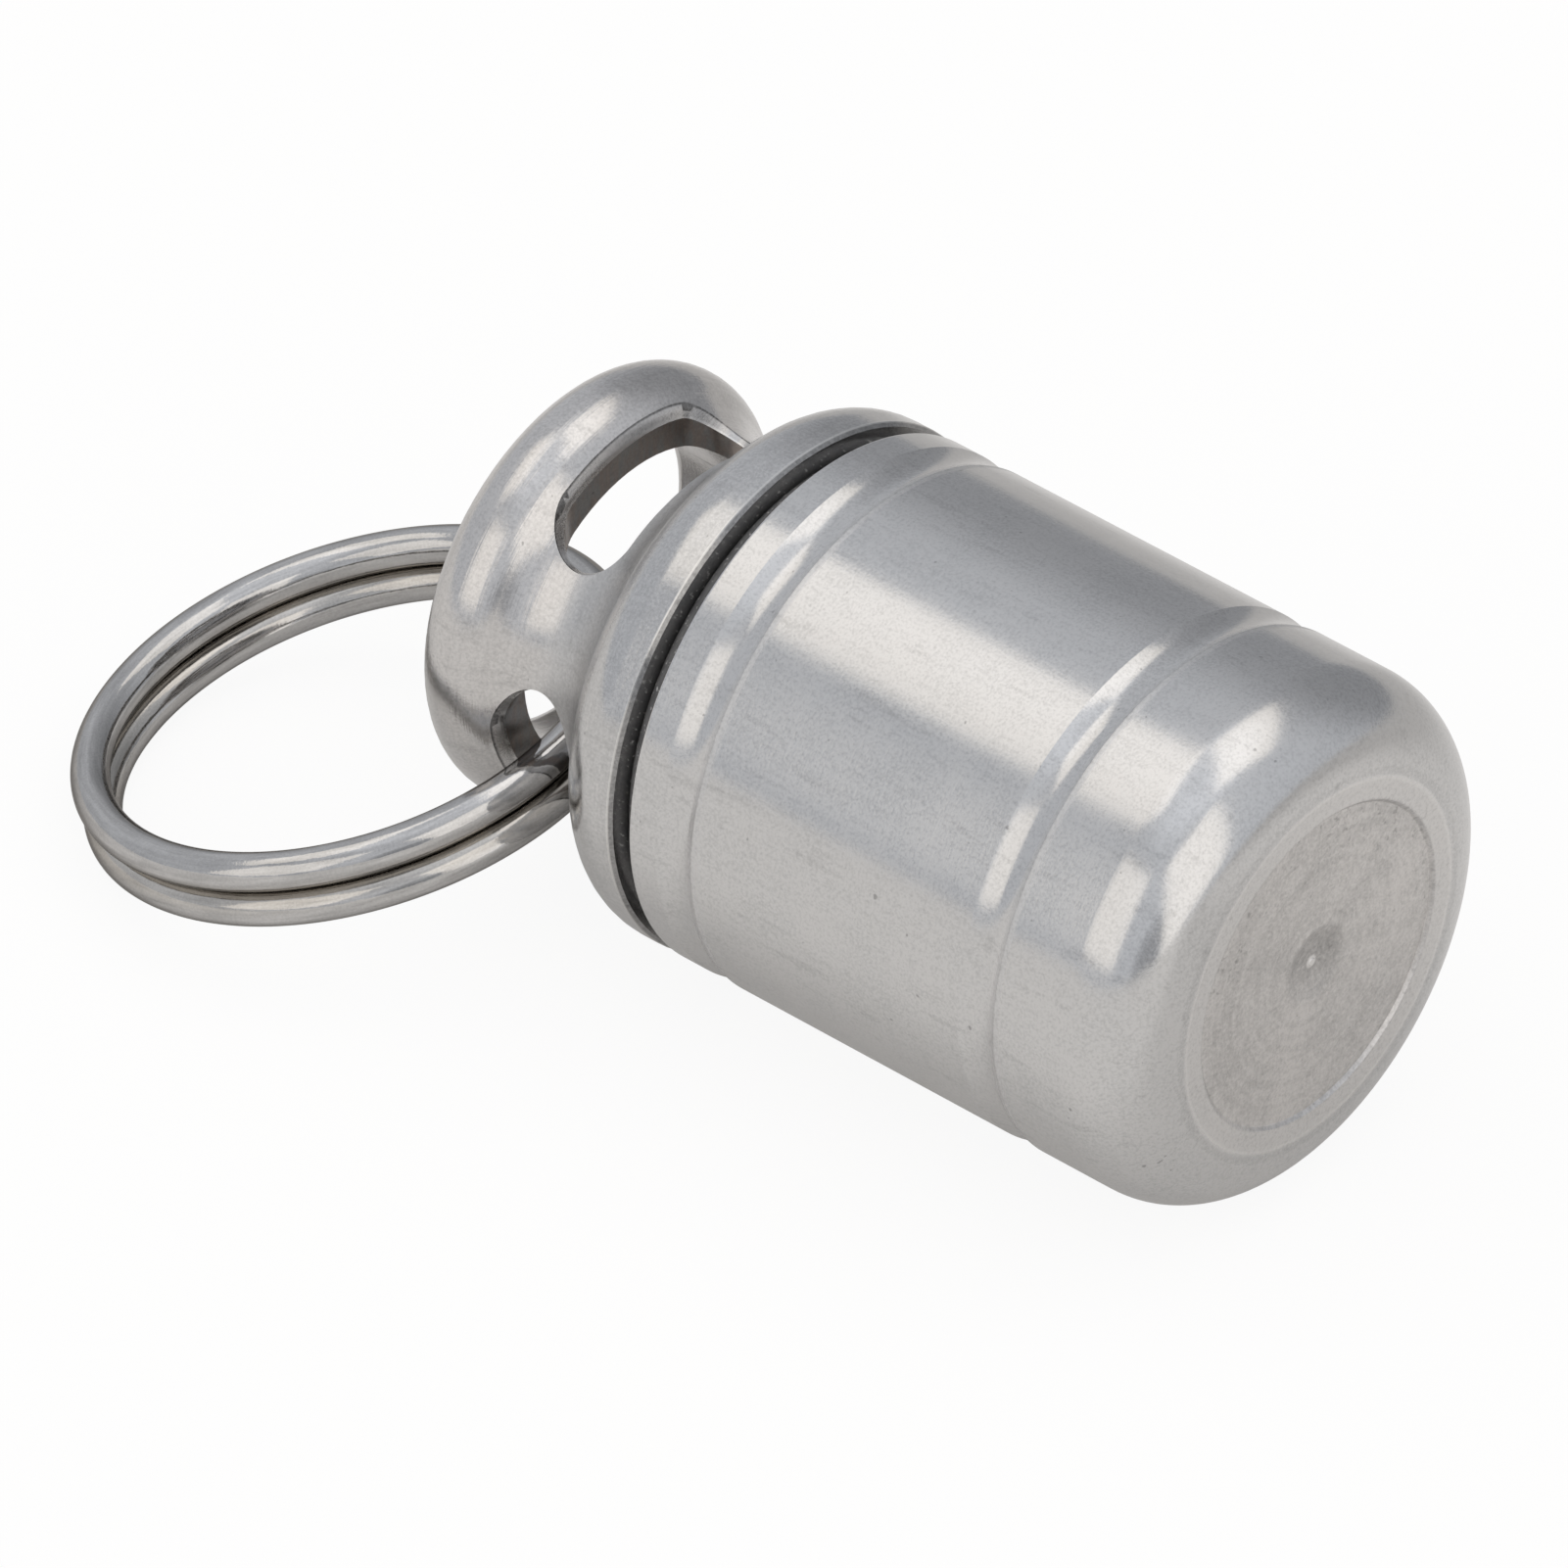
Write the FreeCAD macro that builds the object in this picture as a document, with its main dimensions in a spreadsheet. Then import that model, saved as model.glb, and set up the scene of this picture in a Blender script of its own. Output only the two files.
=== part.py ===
# A pill fob: a turned steel canister, its screw cap with an open ring head, the seal between them
# and a split ring hooked through one of the head's windows. The axis is +Y, from base to head, and
# the fob lies on its side with +Z up. All sizes are in millimetres.

import math
import os
from types import SimpleNamespace

import FreeCAD
import Part
import Sketcher

V = FreeCAD.Vector
doc = FreeCAD.newDocument("pill_fob")

# Sizes: each is written once, with what it sets
SIZES = (
    ("body_dia", 16.0, "outside diameter of the canister and of the cap's flange"),
    ("body_len", 17.9, "canister from its base plane to its rim"),
    ("base_round", 2.4, "radius of the canister's lower corner"),
    ("base_ring", 0.65, "flat ring that the base stands on, around its recess"),
    ("base_disc_depth", 0.1, "depth of that recess"),
    ("dimple_dia", 2.4, "diameter of the lathe centre's mark in the base"),
    ("dimple_depth", 0.18, "depth of that mark"),
    ("groove_width", 1.25, "width of each grip groove at the surface"),
    ("groove_depth", 0.15, "depth of each grip groove"),
    ("groove_from_base", 5.42, "lower groove's middle above the base plane"),
    ("groove_from_rim", 1.65, "upper groove's middle below the rim"),
    ("rim_edge", 0.12, "edge break on the rim and on the flange"),
    ("floor_thick", 1.6, "canister floor"),
    ("rim_wall", 1.3, "wall around the screw socket, a plain bore at the thread's pitch diameter"),
    ("chamber_step", 0.4, "step from the socket in to the bore that holds the pills"),
    ("chamber_round", 1.0, "corner radius at the bottom of the chamber"),
    ("thread_depth", 5.4, "socket from the rim to its shoulder"),
    ("thread_clear", 0.05, "radial clearance of the plug in the socket"),
    ("plug_gap", 0.3, "plug's end above the socket's shoulder"),
    ("plug_wall", 1.35, "wall of the hollow plug"),
    ("plug_edge", 0.3, "lead chamfer of the plug, and of the socket's mouth"),
    ("relief_deep", 0.3, "depth of the thread relief under the flange, the seal's seat"),
    ("relief_len", 0.5, "thread relief below the rim"),
    ("seal_gap", 0.64, "gap between rim and flange, the squeezed seal's height"),
    ("seal_inset", 0.6, "squeezed seal's side in from the canister's side"),
    ("seal_clear", 0.03, "radial clearance of the seal on its seat"),
    ("seal_bulge", 0.34, "rounding of the squeezed seal's free sides"),
    ("flange_len", 0.68, "straight side of the flange"),
    ("shoulder_round", 1.82, "convex radius above the flange"),
    ("neck_wall", 0.71, "thinnest wall of the open head, at its waist"),
    ("head_round", 1.45, "radius of the head's rim"),
    ("head_inset", 2.88, "middle of the rim's section in from the canister's side"),
    ("head_lip", 1.36, "middle of the rim's section above the windows"),
    ("eye_inset", 0.42, "bore of the open head in from the middle of the rim's section"),
    ("eye_floor", 3.6, "floor of the open head above the flange's underside"),
    ("eye_edge", 0.5, "rounding at the bore's mouth and floor"),
    ("web_thick", 2.0, "metal between the plug's hollow and the head's floor"),
    ("window_count", 3, "windows around the head"),
    ("pillar_wide", 1.44, "metal left between two windows at the bore"),
    ("window_high", 2.1, "height of each window along the axis"),
    ("window_sill", 0.3, "windows' lower side above the head's floor"),
    ("window_turn", -4.0, "turn of the cap in degrees about the axis, from a window at the top"),
    ("window_edge", 0.25, "edge break around each window"),
    ("wire_dia", 1.12, "wire of the split ring"),
    ("coil_gap", 0.06, "slit between the ring's two coils"),
    ("ring_dia", 15.2, "diameter of the ring's centre line"),
    ("jog_len", 4.25, "length of wire that steps to the other coil"),
    ("jog_back", 2.54, "middle of that step back from the head's mouth, along the wire"),
    ("hook_low", 0.15, "ring's centre line below the middle of the window it passes through"),
    ("hook_out", 0.7, "ring's centre line out from the bore in that window"),
    ("hook_turn", -5.0, "place of the ring in degrees from the middle of that window"),
    ("exit_in", 1.26, "ring's centre line in from the bore where it leaves the head's mouth"),
    ("exit_turn", 94.2, "place of the ring in the mouth in degrees from its place in the window"),
    ("ring_dip", 15.4, "slope of the ring in degrees, down from head to table"),
    ("ring_lean", 7.0, "sideways lean of the ring in degrees"),
)

sheet = doc.addObject("Spreadsheet::Sheet", "sizes")
for row, (alias, value, note) in enumerate(SIZES, start=1):
    sheet.set(f"A{row}", alias)
    sheet.set(f"B{row}", str(value))
    sheet.set(f"C{row}", note)
    sheet.setAlias(f"B{row}", alias)
doc.recompute()


class Size:
    """A number together with the expression that ties it to the sheet."""

    def __init__(self, text, value):
        self.text = text
        self.value = float(value)

    def __add__(self, other):
        other = as_size(other)
        return Size(f"({self.text} + {other.text})", self.value + other.value)

    def __sub__(self, other):
        other = as_size(other)
        return Size(f"({self.text} - {other.text})", self.value - other.value)

    def __mul__(self, other):
        other = as_size(other)
        return Size(f"({self.text} * {other.text})", self.value * other.value)

    def __truediv__(self, other):
        other = as_size(other)
        return Size(f"({self.text} / {other.text})", self.value / other.value)

    def __neg__(self):
        return Size(f"(0 - {self.text})", -self.value)


def as_size(item):
    """A plain number as a Size, so that the two can be mixed."""
    return item if isinstance(item, Size) else Size(str(item), item)


def bulge_radius(width, height):
    """The radius of the arc that stands height proud of a chord of this width."""
    return (width * width / 4 + height * height) / (height * 2)


def root(size):
    """The square root, as the sheet writes it too."""
    return Size(f"sqrt({size.text})", math.sqrt(size.value))


s = SimpleNamespace(**{alias: Size("sizes." + alias, value) for alias, value, _ in SIZES})

# Places that several pieces share, as radii about the axis and heights above the base plane
side = s.body_dia / 2
socket = side - s.rim_wall
plug = socket - s.thread_clear
plug_end = s.body_len - s.thread_depth + s.plug_gap
seat = s.body_len + s.seal_gap
relief = plug - s.relief_deep
flange_top = seat + s.flange_len
rim_circle = side - s.head_inset
eye = rim_circle - s.eye_inset
floor = seat + s.eye_floor
window_low = floor + s.window_sill
window_top = window_low + s.window_high
rim_middle = window_top + s.head_lip
half_share = Size(f"sin(180 / {s.window_count.text})", math.sin(math.pi / s.window_count.value))
window_half = eye * half_share - s.pillar_wide / 2


def origin_plane(body, role):
    """The plane or axis of the body's own origin that has this role."""
    return next(item for item in body.Origin.OriginFeatures if item.Role == role)


def new_body(name):
    """An empty body whose label is the node's name."""
    body = doc.addObject("PartDesign::Body", name)
    body.Label = name
    return body


def new_sketch(body, name, role="XY_Plane"):
    """A sketch attached to one of the body's origin planes."""
    sketch = body.newObject("Sketcher::SketchObject", name)
    sketch.AttachmentSupport = [(origin_plane(body, role), "")]
    sketch.MapMode = "FlatFace"
    return sketch


def bind(sketch, constraint, name, size):
    """Adds a constraint under a name and ties its value to the sheet."""
    number = sketch.addConstraint(constraint)
    sketch.renameConstraint(number, name)
    sketch.setExpression("Constraints." + name, size.text)


def arc_geometry(start, end, radius, turn):
    """The arc from start to end, with turn +1 for counterclockwise and -1 for clockwise."""
    chord = end - start
    middle = (start + end) * 0.5
    height = math.sqrt(max(0.0, radius**2 - (chord.Length / 2) ** 2))
    normal = V(-chord.y, chord.x, 0).normalize()
    centre = middle + normal * height * turn
    first, last = (start, end) if turn > 0 else (end, start)
    angles = [math.atan2(p.y - centre.y, p.x - centre.x) for p in (first, last)]
    if angles[1] < angles[0]:
        angles[1] += 2 * math.pi
    return Part.ArcOfCircle(Part.Circle(centre, V(0, 0, 1), radius), *angles)


class Profile:
    """A closed outline in a sketch: corners placed by the sheet, joined by lines and arcs."""

    def __init__(self, sketch):
        self.sketch = sketch
        self.corners = []
        self.curves = []

    def corner(self, name, across, along, curve=None, guess=None):
        """A corner at radius across and height along, and the curve that leads to it.

        A place of 0 lies on the sketch's own axis. curve is None for a line, or (radius, turn, joins)
        for an arc. joins holds "start" or "end" for an end that runs smoothly into its neighbour, and
        "follows" where the joins alone set the radius. Where across or along is None the smooth joins
        place the corner, near guess.
        """
        self.corners.append((name, across, along, guess))
        self.curves.append(curve)

    def position(self, number):
        """The corner's place, in numbers."""
        _, across, along, guess = self.corners[number]
        x = guess.x if across is None else as_size(across).value
        y = guess.y if along is None else as_size(along).value
        return V(x, y, 0)

    def add_curves(self):
        """Puts the lines and arcs in the sketch, and lists each with its first and last point."""
        ends = []
        for number, curve in enumerate(self.curves):
            start, end = self.position(number - 1), self.position(number)
            if curve is None:
                geometry = Part.LineSegment(start, end)
            else:
                geometry = arc_geometry(start, end, curve[0].value, curve[1])
            index = self.sketch.addGeometry(geometry, False)
            forward = curve is None or curve[1] > 0
            ends.append((index, 1, 2) if forward else (index, 2, 1))
        return ends

    def join_curves(self, ends):
        """Joins each curve to the next, smoothly where either asks for it."""
        for number, before in enumerate(ends):
            following = (number + 1) % len(ends)
            after = ends[following]
            leading, next_curve = self.curves[number], self.curves[following]
            smooth_end = leading is not None and "end" in leading[2]
            smooth_start = next_curve is not None and "start" in next_curve[2]
            kind = "Tangent" if smooth_end or smooth_start else "Coincident"
            self.sketch.addConstraint(Sketcher.Constraint(kind, before[0], before[2], after[0], after[1]))

    def place(self, index, point, name, across, along):
        """Ties one point of the sketch to its radius and height."""
        for kind, axis, letter, size in (("DistanceX", -2, "x", across), ("DistanceY", -1, "y", along)):
            if size == 0:
                self.sketch.addConstraint(Sketcher.Constraint("PointOnObject", index, point, axis))
            elif size is not None:
                distance = Sketcher.Constraint(kind, -1, 1, index, point, size.value)
                bind(self.sketch, distance, f"{name}_{letter}", size)

    def draw(self):
        """Draws the outline and ties its corners and radii to the sheet."""
        ends = self.add_curves()
        self.join_curves(ends)
        for (index, _, last), (name, across, along, _) in zip(ends, self.corners):
            self.place(index, last, name, across, along)
        for (index, _, _), (name, _, _, _), curve in zip(ends, self.corners, self.curves):
            if curve is not None and "follows" not in curve[2]:
                radius = Sketcher.Constraint("Radius", index, curve[0].value)
                bind(self.sketch, radius, f"{name}_round", curve[0])
        return ends


def revolve(body, name, sketch):
    """Turns the sketch once around the fob's axis."""
    feature = body.newObject("PartDesign::Revolution", name)
    feature.Profile = sketch
    feature.ReferenceAxis = (sketch, ["V_Axis"])
    feature.Angle = 360.0
    sketch.Visibility = False
    return feature


# The canister: one closed outline, turned around the axis
canister = new_body("canister")
canister_sketch = new_sketch(canister, "canister_outline")
groove_arc = bulge_radius(s.groove_width, s.groove_depth)
dimple_arc = bulge_radius(s.dimple_dia, s.dimple_depth)
base_flat = side - s.base_round
disc_edge = base_flat - s.base_ring
chamber = socket - s.chamber_step
socket_end = s.body_len - s.thread_depth
outline = Profile(canister_sketch)
outline.corner("dimple_top", 0, s.base_disc_depth + s.dimple_depth)
outline.corner("dimple_edge", s.dimple_dia / 2, s.base_disc_depth, (dimple_arc, -1, ()))
outline.corner("disc_inside", disc_edge - s.base_disc_depth, s.base_disc_depth)
outline.corner("disc_edge", disc_edge, 0)
outline.corner("base_flat", base_flat, 0)
outline.corner("base_side", side, s.base_round, (s.base_round, 1, ()))
for label, middle in (("low", s.groove_from_base), ("high", s.body_len - s.groove_from_rim)):
    outline.corner(f"{label}_from", side, middle - s.groove_width / 2)
    outline.corner(f"{label}_to", side, middle + s.groove_width / 2, (groove_arc, -1, ()))
outline.corner("rim_side", side, s.body_len - s.rim_edge)
outline.corner("rim_out", side - s.rim_edge, s.body_len)
outline.corner("rim_in", socket + s.plug_edge, s.body_len)
outline.corner("mouth", socket, s.body_len - s.plug_edge)
outline.corner("socket_end", socket, socket_end)
outline.corner("chamber_top", chamber, socket_end)
outline.corner("chamber_side", chamber, s.floor_thick + s.chamber_round)
outline.corner("chamber_flat", chamber - s.chamber_round, s.floor_thick, (s.chamber_round, -1, ()))
outline.corner("chamber_middle", 0, s.floor_thick)
outline.draw()
revolve(canister, "canister_turned", canister_sketch)
doc.recompute()

# The seal: a rubber ring squeezed flat between rim and flange, on the plug's relief
seal = new_body("o_ring")
seal_sketch = new_sketch(seal, "seal_section")
seal_in = relief + s.seal_clear + s.seal_bulge
seal_out = side - s.seal_inset - s.seal_bulge
bulge_arc = bulge_radius(s.seal_gap, s.seal_bulge)
section = Profile(seal_sketch)
section.corner("low_in", seal_in, s.body_len, (bulge_arc, 1, ()))
section.corner("low_out", seal_out, s.body_len)
section.corner("high_out", seal_out, seat, (bulge_arc, 1, ()))
section.corner("high_in", seal_in, seat)
section.draw()
revolve(seal, "seal_turned", seal_sketch)
doc.recompute()

# The cap: plug, flange, shoulder, waist and open ring head in one outline
cap = new_body("cap")
cap_sketch = new_sketch(cap, "cap_outline")
web_low = floor - s.web_thick
hollow = plug - s.plug_wall

# The waist touches the shoulder's circle, the rim's circle and the neck, which sets its radius:
# with both circles touched, its height above the flange follows from a quadratic equation
neck = eye + s.neck_wall
shoulder_in = side - s.shoulder_round
past_side = side - neck
past_rim = rim_circle + s.head_round - neck
rise = rim_middle - flange_top
reach = rise * rise + past_rim * (rim_circle + s.shoulder_round - shoulder_in - s.head_round)
waist_rise = reach / (rise + root(rise * rise - reach * (past_side - past_rim) / past_side))
waist_round = waist_rise * waist_rise / (past_side * 2) - (neck - shoulder_in + s.shoulder_round) / 2

# First guesses for the smooth joins between the three circles
shoulder_centre = V(shoulder_in.value, flange_top.value, 0)
head_centre = V(rim_circle.value, rim_middle.value, 0)
waist_centre = V((neck + waist_round).value, (flange_top + waist_rise).value, 0)
to_shoulder = (waist_centre - shoulder_centre).normalize()
to_head = (waist_centre - head_centre).normalize()
shoulder_join = shoulder_centre + to_shoulder * s.shoulder_round.value
head_join = head_centre + to_head * s.head_round.value
print("waist radius:", round(waist_round.value, 3), "mm")

# The rim's rounding into the bore, on the same circle's inner side
edge_across = (eye + s.eye_edge).value
edge_reach = (s.head_round - s.eye_edge).value
edge_up = math.sqrt(edge_reach**2 - (rim_circle.value - edge_across) ** 2)
edge_centre = V(edge_across, rim_middle.value + edge_up, 0)
edge_join = head_centre + (edge_centre - head_centre).normalize() * s.head_round.value

outline = Profile(cap_sketch)
outline.corner("web_low", 0, web_low)
outline.corner("plug_top", hollow, web_low)
outline.corner("plug_in", hollow, plug_end)
outline.corner("plug_out", plug - s.plug_edge, plug_end)
outline.corner("plug_side", plug, plug_end + s.plug_edge)
outline.corner("relief_low", plug, s.body_len - s.relief_len)
outline.corner("relief_in", relief, s.body_len - s.relief_len + s.relief_deep)
outline.corner("relief_high", relief, seat)
outline.corner("flange_in", side - s.rim_edge, seat)
outline.corner("flange_low", side, seat + s.rim_edge)
outline.corner("flange_high", side, flange_top)
outline.corner("shoulder", None, None, (s.shoulder_round, 1, ("start", "end")), shoulder_join)
outline.corner("waist", None, None, (waist_round, -1, ("end",)), head_join)
outline.corner("head", None, None, (s.head_round, 1, ("end",)), edge_join)
outline.corner("mouth_edge", eye, None, (s.eye_edge, 1, ("end",)), edge_centre)
outline.corner("eye_side", eye, floor + s.eye_edge)
outline.corner("eye_flat", eye - s.eye_edge, floor, (s.eye_edge, -1, ()))
outline.corner("eye_middle", 0, floor)
ends = outline.draw()
names = [corner[0] for corner in outline.corners]
head_arc = ends[names.index("head")][0]
outline.place(head_arc, 3, "head_centre", rim_circle, rim_middle)
revolve(cap, "cap_turned", cap_sketch)
doc.recompute()

# The windows: one round-ended slot through the head's wall, repeated around the axis
window_sketch = new_sketch(cap, "window_outline")
turned = FreeCAD.Rotation(V(0, 1, 0), s.window_turn.value)
window_sketch.AttachmentOffset = FreeCAD.Placement(V(0, 0, 0), turned)
window_sketch.setExpression(".AttachmentOffset.Rotation.Angle", s.window_turn.text + " * 1 deg")
straight = window_half - s.window_high / 2
round_end = (s.window_high / 2, 1, ("start", "follows"))
window = Profile(window_sketch)
window.corner("low_left", -straight, window_low, round_end)
window.corner("low_right", straight, window_low)
window.corner("high_right", straight, window_top, round_end)
window.corner("high_left", -straight, window_top)
window.draw()
window_cut = cap.newObject("PartDesign::Pocket", "window_cut")
window_cut.Profile = window_sketch
window_cut.Type = "ThroughAll"
window_cut.Reversed = True
window_sketch.Visibility = False
doc.recompute()
windows = cap.newObject("PartDesign::PolarPattern", "windows")
windows.Originals = [window_cut]
windows.Axis = (origin_plane(cap, "Y_Axis"), [""])
windows.Angle = 360.0
windows.Occurrences = int(s.window_count.value)
windows.setExpression("Occurrences", s.window_count.text)
cap.Tip = windows
doc.recompute()


# The windows' outer edges are broken: they are the edges that lie on the waist beside a window
def beside_window(edge):
    """Whether the edge runs on the waist between the windows' lower and upper sides."""
    length = edge.LastParameter - edge.FirstParameter
    for share in (0.1, 0.5, 0.9):
        p = edge.valueAt(edge.FirstParameter + share * length)
        from_centre = math.hypot(math.hypot(p.x, p.z) - waist_centre.x, p.y - waist_centre.y)
        on_waist = abs(from_centre - waist_round.value) < 1e-4
        if not on_waist or not window_low.value - 1e-3 < p.y < window_top.value + 1e-3:
            return False
    return True


window_edges = [f"Edge{i}" for i, edge in enumerate(windows.Shape.Edges, start=1) if beside_window(edge)]
window_break = cap.newObject("PartDesign::Chamfer", "window_break")
window_break.Base = (windows, window_edges)
window_break.Size = s.window_edge.value
window_break.setExpression("Size", s.window_edge.text)
cap.Tip = window_break
doc.recompute()
print("window edges broken:", len(window_edges))


# The split ring: one wire in two coils, its step hidden inside the head
def arc_edge(start, tangent, end):
    """The arc from start, along tangent there, to end."""
    chord = end - start
    across = chord - tangent * chord.dot(tangent)
    if across.Length < 1e-9:
        return Part.LineSegment(start, end).toShape(), tangent
    normal = V(across).normalize()
    radius = chord.dot(chord) / (2 * chord.dot(normal))
    centre = start + normal * radius
    middle = (start + end) * 0.5 - centre
    half = centre + middle.normalize() * radius
    leaving = tangent * -1 + chord * (2 * chord.dot(tangent) / chord.dot(chord))
    return Part.Arc(start, half, end).toShape(), leaving


def biarc(start, leave, end, arrive):
    """Two arcs that run smoothly from start along leave into end along arrive."""
    gap = end - start
    both = leave + arrive
    turn = 2 * (1 - leave.dot(arrive))
    reach = (-gap.dot(both) + math.sqrt(gap.dot(both) ** 2 + turn * gap.dot(gap))) / turn
    joint = (start + end + (leave - arrive) * reach) * 0.5
    first, tangent = arc_edge(start, leave, joint)
    second, _ = arc_edge(joint, tangent, end)
    return [first, second]


ring_radius = s.ring_dia.value / 2
wire_radius = s.wire_dia.value / 2
coil_step = (s.wire_dia + s.coil_gap).value


def about_axis(reach, angle, height):
    """The point at this distance from the fob's axis, angle round it and height above the base."""
    return V(reach.value * math.cos(angle), height.value, reach.value * math.sin(angle))


# The ring passes through the window at the lower front, under the rim, and out of the head's mouth.
# Its circle runs through those two points, and dip and lean turn its plane about the line between them
next_window = 90 + 360 / s.window_count.value - s.window_turn.value
hook_angle = math.radians(next_window + s.hook_turn.value)
exit_angle = hook_angle + math.radians(s.exit_turn.value)
hook = about_axis(eye + s.hook_out, hook_angle, window_low + s.window_high / 2 - s.hook_low)
leave = about_axis(eye - s.exit_in, exit_angle, rim_middle + s.head_round)
chord = leave - hook
dip = FreeCAD.Rotation(V(1, 0, 0), -s.ring_dip.value)
lean = FreeCAD.Rotation(V(0, 1, 0), -s.ring_lean.value)
up = (dip * lean).multVec(V(0, 0, 1))
up = (up - chord * (up.dot(chord) / chord.dot(chord))).normalize()
to_centre = up.cross(chord).normalize()
ring_centre = (hook + leave) * 0.5 + to_centre * math.sqrt(ring_radius**2 - chord.dot(chord) / 4)
spoke = (hook - ring_centre).normalize()
pose = FreeCAD.Rotation(spoke, up.cross(spoke), up, "ZXY")

# Angles along the wire, from the window: the step to the other coil is hidden inside the head
mouth_angle = 2 * math.asin(chord.Length / (2 * ring_radius))
jog = s.jog_len.value / ring_radius
jog_from = mouth_angle - s.jog_back.value / ring_radius - jog / 2
jog_to = jog_from + jog


def on_coil(angle, level):
    """A point of a coil's centre line: angle from the hooked point, level -1 low or +1 high."""
    return V(ring_radius * math.cos(angle), ring_radius * math.sin(angle), level * coil_step / 2)


def heading(angle):
    """The wire's direction there."""
    return V(-math.sin(angle), math.cos(angle), 0)


def coil(start, end, level):
    """The coil from one angle to another, as two arcs."""
    middle = (start + end) / 2
    edges = []
    for a, b in ((start, middle), (middle, end)):
        edges.append(Part.Arc(on_coil(a, level), on_coil((a + b) / 2, level), on_coil(b, level)).toShape())
    return edges


turn = 2 * math.pi
path = coil(jog_to, jog_from + turn, -1)
path += biarc(on_coil(jog_from, -1), heading(jog_from), on_coil(jog_to, 1), heading(jog_to))
path += coil(jog_to, jog_from + turn, 1)
spine = Part.Wire(path)
wire_circle = Part.Circle(on_coil(jog_to, -1), heading(jog_to), wire_radius)
ring_shape = spine.makePipeShell([Part.Wire(wire_circle.toShape())], True, False)
print("split ring volume over section times length:",
      round(ring_shape.Volume / (math.pi * wire_radius**2 * spine.Length), 5))

split_ring = doc.addObject("Part::Feature", "split_ring")
split_ring.Label = "split_ring"
split_ring.Shape = ring_shape
split_ring.Placement = FreeCAD.Placement(ring_centre, pose)
doc.recompute()

# Every object is sound before anything is written
pieces = (canister, cap, seal, split_ring)
for item in doc.Objects:
    if any(word in ("Invalid", "Error") for word in item.State):
        raise RuntimeError(f"{item.Label} did not build")
    if item.TypeId == "Sketcher::SketchObject" and not item.FullyConstrained:
        raise RuntimeError(f"{item.Label} is not fully tied to the sizes")
for piece in pieces:
    if piece.Shape.isNull() or not piece.Shape.isValid() or len(piece.Shape.Solids) != 1:
        raise RuntimeError(f"{piece.Label} is not one sound solid")

os.makedirs("parts", exist_ok=True)
for piece in pieces:
    piece.Shape.exportStep(f"parts/{piece.Label}.step")
    box = piece.Shape.BoundBox
    print(f"{piece.Label}: {piece.Shape.Volume:.2f} mm3, x {box.XMin:.3f} to {box.XMax:.3f},",
          f"y {box.YMin:.3f} to {box.YMax:.3f}, z {box.ZMin:.3f} to {box.ZMax:.3f}")
print("ring to cap:", round(split_ring.Shape.distToShape(cap.Shape)[0], 3), "mm")
print("ring to canister:", round(split_ring.Shape.distToShape(canister.Shape)[0], 3), "mm")
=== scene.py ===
# %% [markdown]
# # A pill fob, turned in steel
#
# The fob is a small canister with a screw cap, a rubber seal between them and a split ring on the
# cap's open head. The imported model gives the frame: its bodies move, and every piece made here rides
# on one of them. The part's lengths are in millimetres until a mesh is written, which is in metres,
# as are the places of the lamps and the camera.

import math
from types import SimpleNamespace

import bmesh
import bpy
import numpy as np
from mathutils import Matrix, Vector


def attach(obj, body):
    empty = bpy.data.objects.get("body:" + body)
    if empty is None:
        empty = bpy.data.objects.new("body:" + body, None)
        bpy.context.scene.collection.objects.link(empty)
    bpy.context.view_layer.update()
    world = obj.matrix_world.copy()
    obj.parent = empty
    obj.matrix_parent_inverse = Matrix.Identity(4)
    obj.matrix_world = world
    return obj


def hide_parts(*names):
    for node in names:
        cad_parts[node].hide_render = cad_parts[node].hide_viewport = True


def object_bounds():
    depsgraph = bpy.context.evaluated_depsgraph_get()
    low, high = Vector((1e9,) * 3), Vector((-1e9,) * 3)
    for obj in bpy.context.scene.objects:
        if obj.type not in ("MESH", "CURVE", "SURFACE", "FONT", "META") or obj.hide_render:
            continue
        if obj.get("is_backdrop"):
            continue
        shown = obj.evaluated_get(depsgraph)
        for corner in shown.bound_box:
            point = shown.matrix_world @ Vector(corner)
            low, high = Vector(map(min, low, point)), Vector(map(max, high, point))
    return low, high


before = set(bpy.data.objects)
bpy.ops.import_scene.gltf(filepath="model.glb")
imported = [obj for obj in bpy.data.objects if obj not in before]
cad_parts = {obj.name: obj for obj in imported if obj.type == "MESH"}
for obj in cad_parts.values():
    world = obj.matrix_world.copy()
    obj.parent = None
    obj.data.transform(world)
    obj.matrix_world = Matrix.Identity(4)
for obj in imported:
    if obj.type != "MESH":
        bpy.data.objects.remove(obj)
cad_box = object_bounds()
print("nodes:", sorted(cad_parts))

# %% [markdown]
# ## Sizes
#
# A turned part is read from its outline, so the sizes are radii from the axis (r) and heights along
# it (y), the axis being the frame's +Y. They are those of the CAD model, so that each piece made here
# lies on the solid it stands for.

# %% Sizes of the canister and the cap
MM = 0.001
SIDE = 8.0
RIM = 17.9
BASE_ROUND = 2.4
BASE_FLAT = SIDE - BASE_ROUND
DISC_EDGE = BASE_FLAT - 0.65
DISC_DEPTH = 0.1
DIMPLE = 1.2
DIMPLE_DEPTH = 0.18
DIMPLE_Y = DISC_DEPTH + DIMPLE_DEPTH
PIP = 0.1
PIP_Y = DIMPLE_Y - 0.05
GROOVE_HALF = 0.625
GROOVE_DEPTH = 0.15
GROOVES = (5.42, RIM - 1.65)
EDGE = 0.12
SOCKET = SIDE - 1.3
SOCKET_END = RIM - 5.4
SOCKET_MOUTH = SOCKET + 0.34
CHAMBER = SOCKET - 0.4
CHAMBER_ROUND = 1.0
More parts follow.
